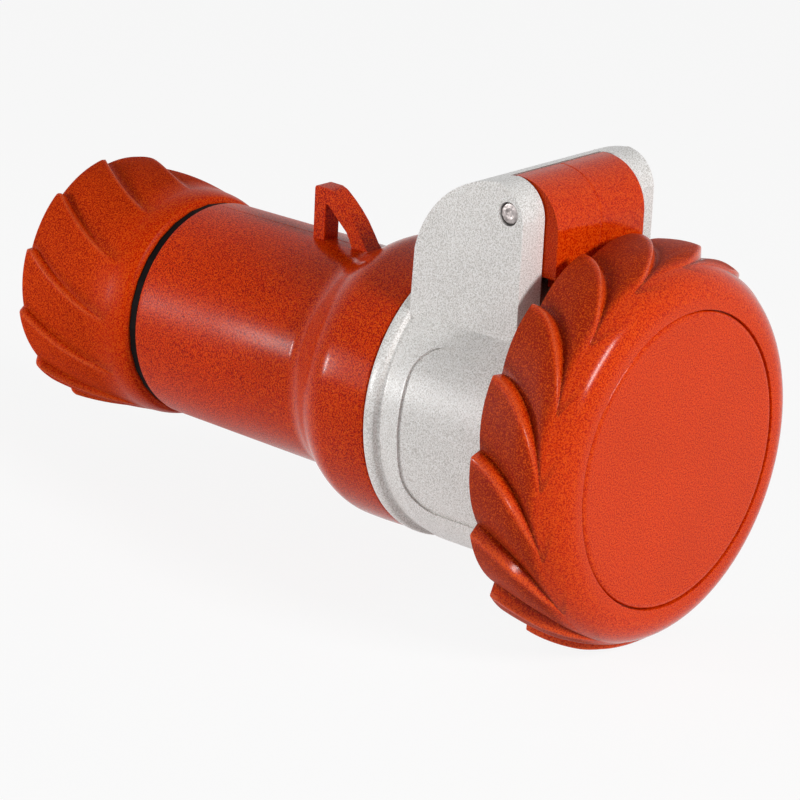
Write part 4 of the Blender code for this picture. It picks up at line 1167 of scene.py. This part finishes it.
@dataclass
class FrontHousing:
    """The grey moulding: barrel with side panels, neck, flange, socket, ramps and hinge hood."""

    radius: float = 33.8
    wall: float = 3.2
    front_y: float = 8.5
    neck_y: float = 54.2
    joint_y: float = 63.6
    floor_y: float = 48.0
    floor_thickness: float = 3.0
    insert_bore: float = 24.4
    spigot_radius: float = 30.6
    spigot_bore: float = 28.0
    spigot_end: float = 74.0
    panel_depth: float = 0.5
    panel_front: float = 21.0
    panel_rear: float = 53.5
    panel_top: float = 20.5
    panel_bottom: float = -18.8
    panel_corner: float = 8.0
    ear_half_width: float = 23.2
    ear_inner: float = 15.7
    ear_front: float = 29.6
    ear_corner: float = 8.5
    hood_top: float = 59.8
    hood_arc: float = 25.1
    hood_arc_y: float = 35.5
    hood_rear_angle: float = 11.7
    cover_wall: float = 2.5
    pin_y: float = 33.9
    pin_z: float = 53.3
    pin_hole: float = 2.7
    swing: float = 8.64
    block_top: float = 59.7
    ramp_radius: float = 37.8
    ramp_turn: tuple[float, float] = (73.8, 40.8)
    ramp_front: float = 12.0
    ramp_rear: tuple[float, float] = (14.4, 15.7)
    stop_turn: tuple[float, float] = (41.3, 38.3)
    stop_front: float = 12.2
    stop_rear: tuple[float, float] = (19.0, 19.0)
    seal_groove: tuple[float, float] = (66.0, 68.4)
    seal_depth: float = 1.6
    keyway_low: tuple[float, float, float] = (-4.0, 0.0, -32.4)
    keyway_high: tuple[float, float, float] = (4.0, 46.0, -27.6)
    hood_foot: float = 61.0

    def section(self) -> Profile:
        """Draw the turned section from the barrel's rim over the flange and back inside.

        Returns:
            The section as (radius, y) points.
        """
        bore = self.radius - self.wall
        rear = self.floor_y + self.floor_thickness
        seal_front, seal_rear = self.seal_groove
        seal_floor = self.spigot_radius - self.seal_depth
        r = self.radius
        return [(r - 0.5, self.front_y), (r - 0.18, self.front_y + 0.1), (r, self.front_y + 0.5),
                (r, 30.0), (r, self.neck_y - 0.3), (r - 0.1, self.neck_y),
                (r - 0.3, self.neck_y + 1.2), *((r + past, y) for past, y in NECK_AND_FLANGE),
                (r - 0.2, self.joint_y), (self.spigot_radius, self.joint_y),
                (self.spigot_radius, seal_front), (seal_floor, seal_front),
                (seal_floor, seal_rear), (self.spigot_radius, seal_rear),
                (self.spigot_radius, self.spigot_end),
                (self.spigot_bore, self.spigot_end), (self.spigot_bore, rear),
                (self.insert_bore, rear), (self.insert_bore, self.floor_y),
                (bore, self.floor_y), (bore, self.front_y + 0.5), (bore + 0.5, self.front_y)]

    def outline(self, inset: float = 0.0) -> Profile:
        """Return the hood's side outline; with an inset, only its rear and its curved top.

        Args:
            inset: how far inside the hood's skin the outline runs, in millimetres.

        Returns:
            The outline as (y, z) points.
        """
        centre = (self.hood_arc_y, self.hood_top - self.hood_arc)
        rear = self.hood_foot - inset
        points = [(rear, 0.0), (rear, self.radius / 2)]
        points += arc(centre, self.hood_arc - inset, self.hood_rear_angle, 84.0, 28)
        if inset == 0.0:
            corner = (self.ear_front + self.ear_corner, self.hood_top - self.ear_corner)
            points += arc(corner, self.ear_corner, 92.0, 180.0, 14) + [(self.ear_front, 0.0)]
        return points

    def well(self) -> Profile:
        """Draw the outline of the space under the cover, where the lid's block swings.

        Returns:
            The outline as (y, z) points.
        """
        lip_y = self.pin_y + math.sqrt(self.swing ** 2 - (self.block_top - self.pin_z) ** 2)
        points = [p for p in self.outline(self.cover_wall) if p[0] > self.pin_y + self.swing]
        start = math.degrees(math.asin((points[-1][1] - self.pin_z) / self.swing))
        top = math.degrees(math.acos((lip_y - self.pin_y) / self.swing))
        points += arc((self.pin_y, self.pin_z), self.swing, start, top, 10)
        high = self.hood_top + 10.0
        return points + [(lip_y, high), (0.0, high), (0.0, 0.0)]

    def hood(self) -> bpy.types.Object:
        """Model the two ears and the curved cover between them.

        Returns:
            The hood.
        """
        hood = Bench.slab("hood", self.outline(), -self.ear_half_width, self.ear_half_width)
        hood = Bench.round_edges(hood, 1.9, 5)
        well = Bench.slab("well", self.well(), -self.ear_inner, self.ear_inner)
        hood = Bench.combine(hood, well, Step.CUT)
        seat = Bench.rod("seat", self.radius - self.wall / 2, (0, 0, 0), (0, 130.0, 0), COLUMNS)
        return Bench.combine(hood, seat, Step.CUT)

    def panel(self) -> bpy.types.Object:
        """Model the cutter for the shallow panels on both flanks.

        Returns:
            The cutter.
        """
        inner, outer = self.radius - self.panel_depth, self.radius + 5.0
        shell = Bench.lathe("panel", [(inner, self.panel_front), (outer, self.panel_front),
                                      (outer, self.panel_rear), (inner, self.panel_rear)],
                            COLUMNS)
        corner, rear = self.panel_corner, self.panel_rear
        outline = arc((rear - corner, self.panel_top - corner), corner, 0, 90, 14)
        outline += [(self.panel_front, self.panel_top), (self.panel_front, self.panel_bottom)]
        outline += arc((rear - corner, self.panel_bottom + corner), corner, -90, 0, 14)
        window = Bench.slab("window", outline, -self.radius * 2, self.radius * 2)
        return Bench.combine(shell, window, Step.KEEP)

    def ramp(self, start: float, end: float, front: float, rear: tuple[float, float]
             ) -> bpy.types.Object:
        """Model a bayonet ramp or stop that is bent round the barrel.

        Args:
            start: angle where it starts, in degrees from the top.
            end: angle where it ends.
            front: its front face along the body.
            rear: its rear face at the start and at the end.

        Returns:
            The ramp, with rounded edges.
        """
        inner, steps = self.radius - self.wall / 2, max(2, int(abs(end - start) / 2.2))
        ramp = Bench.lathe("ramp", [(inner, front), (self.ramp_radius, front),
                                    (self.ramp_radius, rear[0]), (inner, rear[0])], 360)
        low, high = min(start, end), max(start, end)
        # The wedge's two arms reach past the ramp
        reach = 60.0
        turns = [math.radians(low + (high - low) * i / steps) for i in range(steps + 1)]
        wedge = [(0.0, 0.0)] + [(reach * math.sin(t), reach * math.cos(t)) for t in turns]
        keeper = Bench.slab("keeper", wedge, front - 1.0, max(rear) + 1.0)
        # The slab's Y, Z and X become the body's -X, Z and Y
        keeper.data.transform(Matrix(((0, -1, 0, 0), (1, 0, 0, 0), (0, 0, 1, 0), (0, 0, 0, 1))))
        ramp = Bench.combine(ramp, keeper, Step.KEEP)
        for vert in ramp.data.vertices:
            if vert.co.y > (front + rear[0]) / 2 * MM:
                angle = math.degrees(math.atan2(-vert.co.x, vert.co.z)) % 360.0
                share = (angle - start) / (end - start)
                vert.co.y = (rear[0] + (rear[1] - rear[0]) * share) * MM
        return Bench.round_edges(ramp, 0.3, 2, 50.0)

    def build(self) -> bpy.types.Object:
        """Model the housing in one moulding.

        Returns:
            The housing.
        """
        barrel = Bench.lathe("grey_housing", self.section(), COLUMNS)
        barrel = Bench.combine(barrel, self.panel(), Step.CUT)
        keyway = Bench.box("keyway", self.keyway_low, self.keyway_high)
        barrel = Bench.combine(barrel, keyway, Step.CUT)
        housing = Bench.combine(barrel, self.hood(), Step.ADD)
        for side in (0.0, 180.0):
            for turn, front, rear in ((self.ramp_turn, self.ramp_front, self.ramp_rear),
                                      (self.stop_turn, self.stop_front, self.stop_rear)):
                ramp = self.ramp(turn[0] + side, turn[1] + side, front, rear)
                housing = Bench.combine(housing, ramp, Step.ADD)
        hole = Bench.rod("pin_hole", self.pin_hole, (-30.0, self.pin_y, self.pin_z),
                         (30.0, self.pin_y, self.pin_z), 48)
        housing = Bench.combine(housing, hole, Step.CUT)
        return Bench.smooth(housing, 32.0)


@dataclass
class Lid:
    """The lid under the ring: disc, arm and the crowned block that swings on the pin."""

    radius: float = 38.9
    front_y: float = 3.7
    rear_y: float = 6.7
    boss_radius: float = 12.0
    boss_rear: float = 9.2
    socket_radius: float = 8.3
    socket_rear: float = 8.0
    groove: tuple[float, float] = (30.0, 35.3)
    groove_depth: float = 1.2
    block_half_width: float = 15.3
    block_front: float = 26.0
    crown: float = 11.3
    block_top: float = 59.7
    block_bottom: float = 38.5
    foot_depth: float = 7.0
    swing: float = 7.94
    pin_y: float = 33.9
    pin_z: float = 53.3
    pin_hole: float = 2.8
    slot_half_width: float = 6.5
    slot_wall: float = 1.4
    slot_bottom: float = 43.0
    arm_half_width: float = 10.5
    arm_inner: float = 36.2
    arm_thickness: float = 4.2

    def disc(self) -> bpy.types.Object:
        """Model the round plate with its gasket groove and its boss.

        Returns:
            The plate.
        """
        low, high = self.groove
        bottom = self.rear_y - self.groove_depth
        profile = [(0.0, self.boss_rear), (self.boss_radius - 0.6, self.boss_rear),
                   (self.boss_radius - 0.15, self.boss_rear - 0.15),
                   (self.boss_radius, self.boss_rear - 0.6),
                   (self.boss_radius + 0.1, self.rear_y + 0.4),
                   (self.boss_radius + 0.5, self.rear_y), (low, self.rear_y), (low, bottom),
                   (high, bottom), (high, self.rear_y), (self.radius - 0.5, self.rear_y),
                   (self.radius - 0.15, self.rear_y - 0.15), (self.radius, self.rear_y - 0.5),
                   (self.radius, self.front_y + 0.3), (self.radius - 0.3, self.front_y),
                   (self.socket_radius, self.front_y), (self.socket_radius, self.socket_rear),
                   (0.0, self.socket_rear)]
        return Bench.lathe("red_lid", profile, 128, closed=False)

    def arm(self) -> bpy.types.Object:
        """Model the curved arm that runs from the plate to the block.

        Returns:
            The arm.
        """
        outer = self.arm_inner + self.arm_thickness
        rear = self.block_front + self.foot_depth - 1.0
        shell = Bench.lathe("arm", [(self.arm_inner, self.front_y), (self.radius, self.front_y),
                                    (outer, self.front_y + 1.8), (outer, rear),
                                    (self.arm_inner, rear)], 128)
        window = Bench.box("arm_window", (-self.arm_half_width, 0.0, 0.0),
                           (self.arm_half_width, 60.0, 80.0))
        return Bench.round_edges(Bench.combine(shell, window, Step.KEEP), 0.4, 2, 50.0)

    def block(self) -> bpy.types.Object:
        """Model the hinge block with the spring's slot and the pin's bore.

        Returns:
            The block.
        """
        crown = (self.block_front + self.crown, self.block_top - self.crown)
        foot = self.block_front + self.foot_depth
        top = math.degrees(math.asin((self.block_top - self.pin_z) / self.swing))
        low = -math.degrees(math.acos((foot - self.pin_y) / self.swing))
        outline = [(self.block_front, self.block_bottom)] + arc(crown, self.crown, 180.0, 90.0, 28)
        outline += arc((self.pin_y, self.pin_z), self.swing, top, low, 24)
        outline += [(foot, self.block_bottom)]
        block = Bench.slab("block", outline, -self.block_half_width, self.block_half_width)
        block = Bench.round_edges(block, 0.9, 4, 50.0)
        block = Bench.score(block, 0.5, 0.2, lambda p: self.on_crown(p, crown))
        inner = self.crown - self.slot_wall
        slot = [(crown[0] - inner, self.slot_bottom)] + arc(crown, inner, 180.0, 90.0, 12)
        slot += [(60.0, crown[1] + inner), (60.0, self.slot_bottom)]
        cutter = Bench.slab("slot", slot, -self.slot_half_width, self.slot_half_width)
        block = Bench.combine(block, cutter, Step.CUT)
        bore = Bench.rod("bore", self.pin_hole, (-20.0, self.pin_y, self.pin_z),
                         (20.0, self.pin_y, self.pin_z), 48)
        return Bench.combine(block, bore, Step.CUT)

    def on_crown(self, place: Vector, centre: tuple[float, float]) -> bool:
        """Return whether a place is on the block's visible front and crown.

        Args:
            place: the place in metres.
            centre: the crown's centre as (y, z) in millimetres.

        Returns:
            Whether the parting groove runs over it.
        """
        y, z = place.y / MM, place.z / MM
        if z < centre[1]:
            return abs(y - self.block_front) < 0.1 and z > self.block_bottom + 2.0
        past = math.hypot(y - centre[0], z - centre[1]) - self.crown
        return y < centre[0] + 0.5 and abs(past) < 0.1

    def build(self) -> bpy.types.Object:
        """Model the lid in one moulding."""
        lid = Bench.combine(self.disc(), self.arm(), Step.ADD)
        return Bench.smooth(Bench.combine(lid, self.block(), Step.ADD), 32.0)


@dataclass
class HingePin:
    """The steel hinge pin with its peened ends."""

    y: float = 33.9
    z: float = 53.3
    radius: float = 2.4
    half_length: float = 22.7
    rim: float = 0.35
    dent: float = 0.12
    dents_per_mm: float = 1.7

    def build(self) -> bpy.types.Object:
        """Model the pin with slightly domed, dented ends.

        Returns:
            The pin.
        """
        pin = Bench.rod("pin", self.radius, (-self.half_length, self.y, self.z),
                        (self.half_length, self.y, self.z), 48)
        pin = Bench.round_edges(pin, self.rim, 3)
        Bench.only(pin)
        bpy.ops.object.mode_set(mode="EDIT")
        for side in (-1.0, 1.0):
            bpy.ops.mesh.select_mode(type="FACE")
            bpy.ops.mesh.select_all(action="DESELECT")
            bpy.ops.object.mode_set(mode="OBJECT")
            for face in pin.data.polygons:
                face.select = face.normal.x * side > 0.99
            bpy.ops.object.mode_set(mode="EDIT")
            bpy.ops.mesh.inset(thickness=self.rim * MM)
            for depth in (0.05, 0.0, -0.1, 0.0, 0.02):
                bpy.ops.mesh.inset(thickness=0.28 * MM, depth=depth * MM)
        bpy.ops.object.mode_set(mode="OBJECT")
        # The riveting hammer leaves small dents, about a tenth of a millimetre deep
        for vert in pin.data.vertices:
            if abs(vert.co.x) > (self.half_length - 0.2) * MM:
                spot = vert.co / MM * self.dents_per_mm
                vert.co.x -= math.copysign(self.dent * MM * abs(noise.noise(spot)), vert.co.x)
        return Bench.smooth(pin)


# ---- Studio --------------------------------------------------------------------------------

@dataclass(frozen=True)
class PhotoCamera:
    """The photograph's viewpoint, solved from the coaxial circles of the body.

    Distances are millimetres, angles degrees, and the picture's own measures pixels.
    """

    distance: float = 794.42
    azimuth: float = -49.46
    elevation: float = 19.11
    roll: float = 2.80
    focal_px: float = 3604.15
    origin_px: tuple[float, float] = (679.95, 461.23)
    frame_px: float = 800.0

    def build(self) -> bpy.types.Object:
        """Add the camera.

        Returns:
            The camera, which is the scene's own.
        """
        a, e, r = (math.radians(v) for v in (self.azimuth, self.elevation, self.roll))
        back = Vector((math.sin(a) * math.cos(e), -math.cos(a) * math.cos(e), math.sin(e)))
        level = Vector((math.cos(a), math.sin(a), 0.0))
        rise = back.cross(level)
        right = level * math.cos(r) + rise * math.sin(r)
        up = rise * math.cos(r) - level * math.sin(r)
        half = self.frame_px / 2
        x = (self.origin_px[0] - half) / self.focal_px * self.distance
        y = -(self.origin_px[1] - half) / self.focal_px * self.distance
        place = (back * self.distance - right * x - up * y) * MM
        data = bpy.data.cameras.new("photo_camera")
        data.sensor_width = 36.0
        data.lens = self.focal_px / self.frame_px * data.sensor_width
        data.clip_start, data.clip_end = 0.01, 20.0
        camera = bpy.data.objects.new("photo_camera", data)
        bpy.context.scene.collection.objects.link(camera)
        turn = Matrix((right, up, back)).transposed().to_4x4()
        camera.matrix_world = Matrix.Translation(place) @ turn
        bpy.context.scene.camera = camera
        return camera


@dataclass(frozen=True)
class Lamp:
    """One softbox: its place, aim and size in metres, its strength, and its roll in degrees."""

    name: str
    place: tuple[float, float, float]
    aim: tuple[float, float, float]
    width: float
    height: float
    watts: float
    roll: float = 0.0

    def build(self) -> bpy.types.Object:
        """Add the softbox as an area lamp.

        Returns:
            The lamp.
        """
        data = bpy.data.lights.new(self.name, "AREA")
        data.shape = "RECTANGLE"
        data.size, data.size_y = self.width, self.height
        data.energy = self.watts
        lamp = bpy.data.objects.new(self.name, data)
        bpy.context.scene.collection.objects.link(lamp)
        lamp.location = self.place
        look = (Vector(self.aim) - Vector(self.place)).to_track_quat("-Z", "Y").to_matrix()
        lamp.rotation_euler = (look @ Matrix.Rotation(math.radians(self.roll), 3, "Z")).to_euler()
        return lamp


@dataclass
class Studio:
    """A white table, soft boxes and the photograph's camera."""

    table_z: float = -0.0475
    table_size: float = 6.0
    world_strength: float = 0.18
    lamps: list[Lamp] = field(default_factory=lambda: [
        Lamp("key_softbox", (-0.1, -1.03, 0.6), (0.0, 0.0, 0.0), 0.42, 0.13, 10.3, 38.0),
        Lamp("left_softbox", (-0.95, 0.6, 0.2), (0.0, 0.05, 0.0), 0.8, 0.35, 2.5),
        Lamp("rear_left_strip", (-0.562, 0.645, 0.1), (0.0, 0.1, 0.01), 0.032, 0.12, 1.8),
    ])

    @staticmethod
    def backdrop_rays(tree: bpy.types.NodeTree) -> bpy.types.NodeSocket:
        """Find the rays that see the backdrop directly or mirrored.

        Args:
            tree: the node tree of a material or world.

        Returns:
            The output that is 1 for them and 0 for others.
        """
        path = add_node(tree, "ShaderNodeLightPath")
        direct = add_node(tree, "ShaderNodeMath", {"operation": "MAXIMUM"},
                          {0: path.outputs["Is Camera Ray"], 1: path.outputs["Is Glossy Ray"]})
        every = add_node(tree, "ShaderNodeMath", {"operation": "MAXIMUM"},
                         {0: direct.outputs[0], 1: path.outputs["Is Transmission Ray"]})
        return every.outputs[0]

    def table(self) -> bpy.types.Object:
        """Add the white table top, which keeps the object's soft shadow.

        Returns:
            The table top.
        """
        Bench.clear()
        bpy.ops.mesh.primitive_plane_add(size=self.table_size, location=(0, 0, self.table_z))
        table = Bench.settle(bpy.context.active_object)
        table.name = "table_top"
        material = bpy.data.materials.new("matt_white_table")
        material.use_nodes = True
        tree = material.node_tree
        tree.nodes.clear()
        diffuse = add_node(tree, "ShaderNodeBsdfDiffuse", {"Color": linear("#F4F4F4")})
        glow = add_node(tree, "ShaderNodeEmission", {"Color": WHITE, "Strength": 1.0})
        part = add_node(tree, "ShaderNodeMath", {"operation": "MULTIPLY", 1: TABLE_GLOW},
                        {0: self.backdrop_rays(tree)})
        mix = add_node(tree, "ShaderNodeMixShader",
                       links={0: part.outputs[0], 1: diffuse.outputs[0], 2: glow.outputs[0]})
        add_node(tree, "ShaderNodeOutputMaterial", links={"Surface": mix.outputs[0]})
        Bench.dress(table, material)
        return table

    def world(self) -> None:
        """Set a plain white surrounding that is dimmer as light than as background."""
        world = bpy.data.worlds.new("studio")
        bpy.context.scene.world = world
        world.use_nodes = True
        tree = world.node_tree
        tree.nodes.clear()
        light = add_node(tree, "ShaderNodeBackground", {"Color": WHITE,
                                                        "Strength": self.world_strength})
        white = add_node(tree, "ShaderNodeBackground", {"Color": WHITE, "Strength": 1.0})
        mix = add_node(tree, "ShaderNodeMixShader",
                       links={0: self.backdrop_rays(tree), 1: light.outputs[0],
                              2: white.outputs[0]})
        add_node(tree, "ShaderNodeOutputWorld", links={"Surface": mix.outputs[0]})

    def build(self) -> None:
        """Set up table, light, camera and the plain view."""
        self.table()
        self.world()
        for lamp in self.lamps:
            lamp.build()
        PhotoCamera().build()
        bpy.context.scene.view_settings.view_transform = "Standard"


# ---- Assembly ------------------------------------------------------------------------------

def dress_node(node: str, material: bpy.types.Material) -> None:
    """Give a CAD node its finish and leave its shape alone.

    Args:
        node: the node's name.
        material: its finish.
    """
    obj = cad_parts[node]
    for slot in obj.material_slots:
        slot.material = material


def fit(piece: bpy.types.Object, body: str, nodes: list[str],
        material: bpy.types.Material) -> None:
    """Dress a new piece, put it on its body and let it stand for its CAD nodes.

    Args:
        piece: the finished piece.
        body: the body that it rides on.
        nodes: the CAD nodes that it replaces.
        material: the piece's finish.
    """
    Bench.dress(piece, material)
    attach(piece, body)
    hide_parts(*nodes)
    log.info("%s on %s: %d faces", piece.name, body, len(piece.data.polygons))


def main() -> None:
    """Build the socket's looks and the studio."""
    red, grey, dark = RED.material(), GREY.material(), DARK.material()
    rubber, gasket = BLACK_RUBBER.material(), GREY_RUBBER.material()
    satin_red, matt_red = RED_SATIN.material(), RED_MATT.material()
    brass, steel = BRASS.material(), STEEL.material()
    for pole in ("earth", "l1", "l2", "l3", "neutral"):
        dress_node("contact_" + pole, brass)
        dress_node("terminal_screw_" + pole, steel)
    dress_node("torsion_spring", steel)
    for node in ("contact_face", "contact_insert", "contact_carrier", "insert_retainer",
                 "slip_washer", "clamp_cage"):
        dress_node(node, dark)
    for node in ("flange_seal", "body_seal", "cable_grommet"):
        dress_node(node, rubber)
    dress_node("lid_gasket", gasket)
    fit(BayonetRing().build(), "ring", ["bayonet_ring"], red)
    fit(FaceDisc().build(), "lid", ["front_disc"], red)
    fit(GlandNut().build(), "nut", ["gland_nut"], matt_red)
    fit(Handle().build(), "housing", ["handle"], satin_red)
    fit(FrontHousing().build(), "housing", ["front_housing"], grey)
    fit(Lid().build(), "lid", ["lid"], red)
    fit(HingePin().build(), "housing", ["hinge_pin"], PEENED_STEEL.material())
    Studio().build()


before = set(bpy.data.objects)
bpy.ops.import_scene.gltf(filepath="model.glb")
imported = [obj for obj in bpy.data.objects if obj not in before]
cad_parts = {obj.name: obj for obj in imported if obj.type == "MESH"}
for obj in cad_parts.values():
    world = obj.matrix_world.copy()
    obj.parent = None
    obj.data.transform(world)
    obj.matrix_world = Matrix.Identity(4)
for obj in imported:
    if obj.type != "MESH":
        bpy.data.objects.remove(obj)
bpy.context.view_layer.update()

if __name__ == "__main__":
    logging.basicConfig(level=logging.INFO, format="%(message)s")
    main()
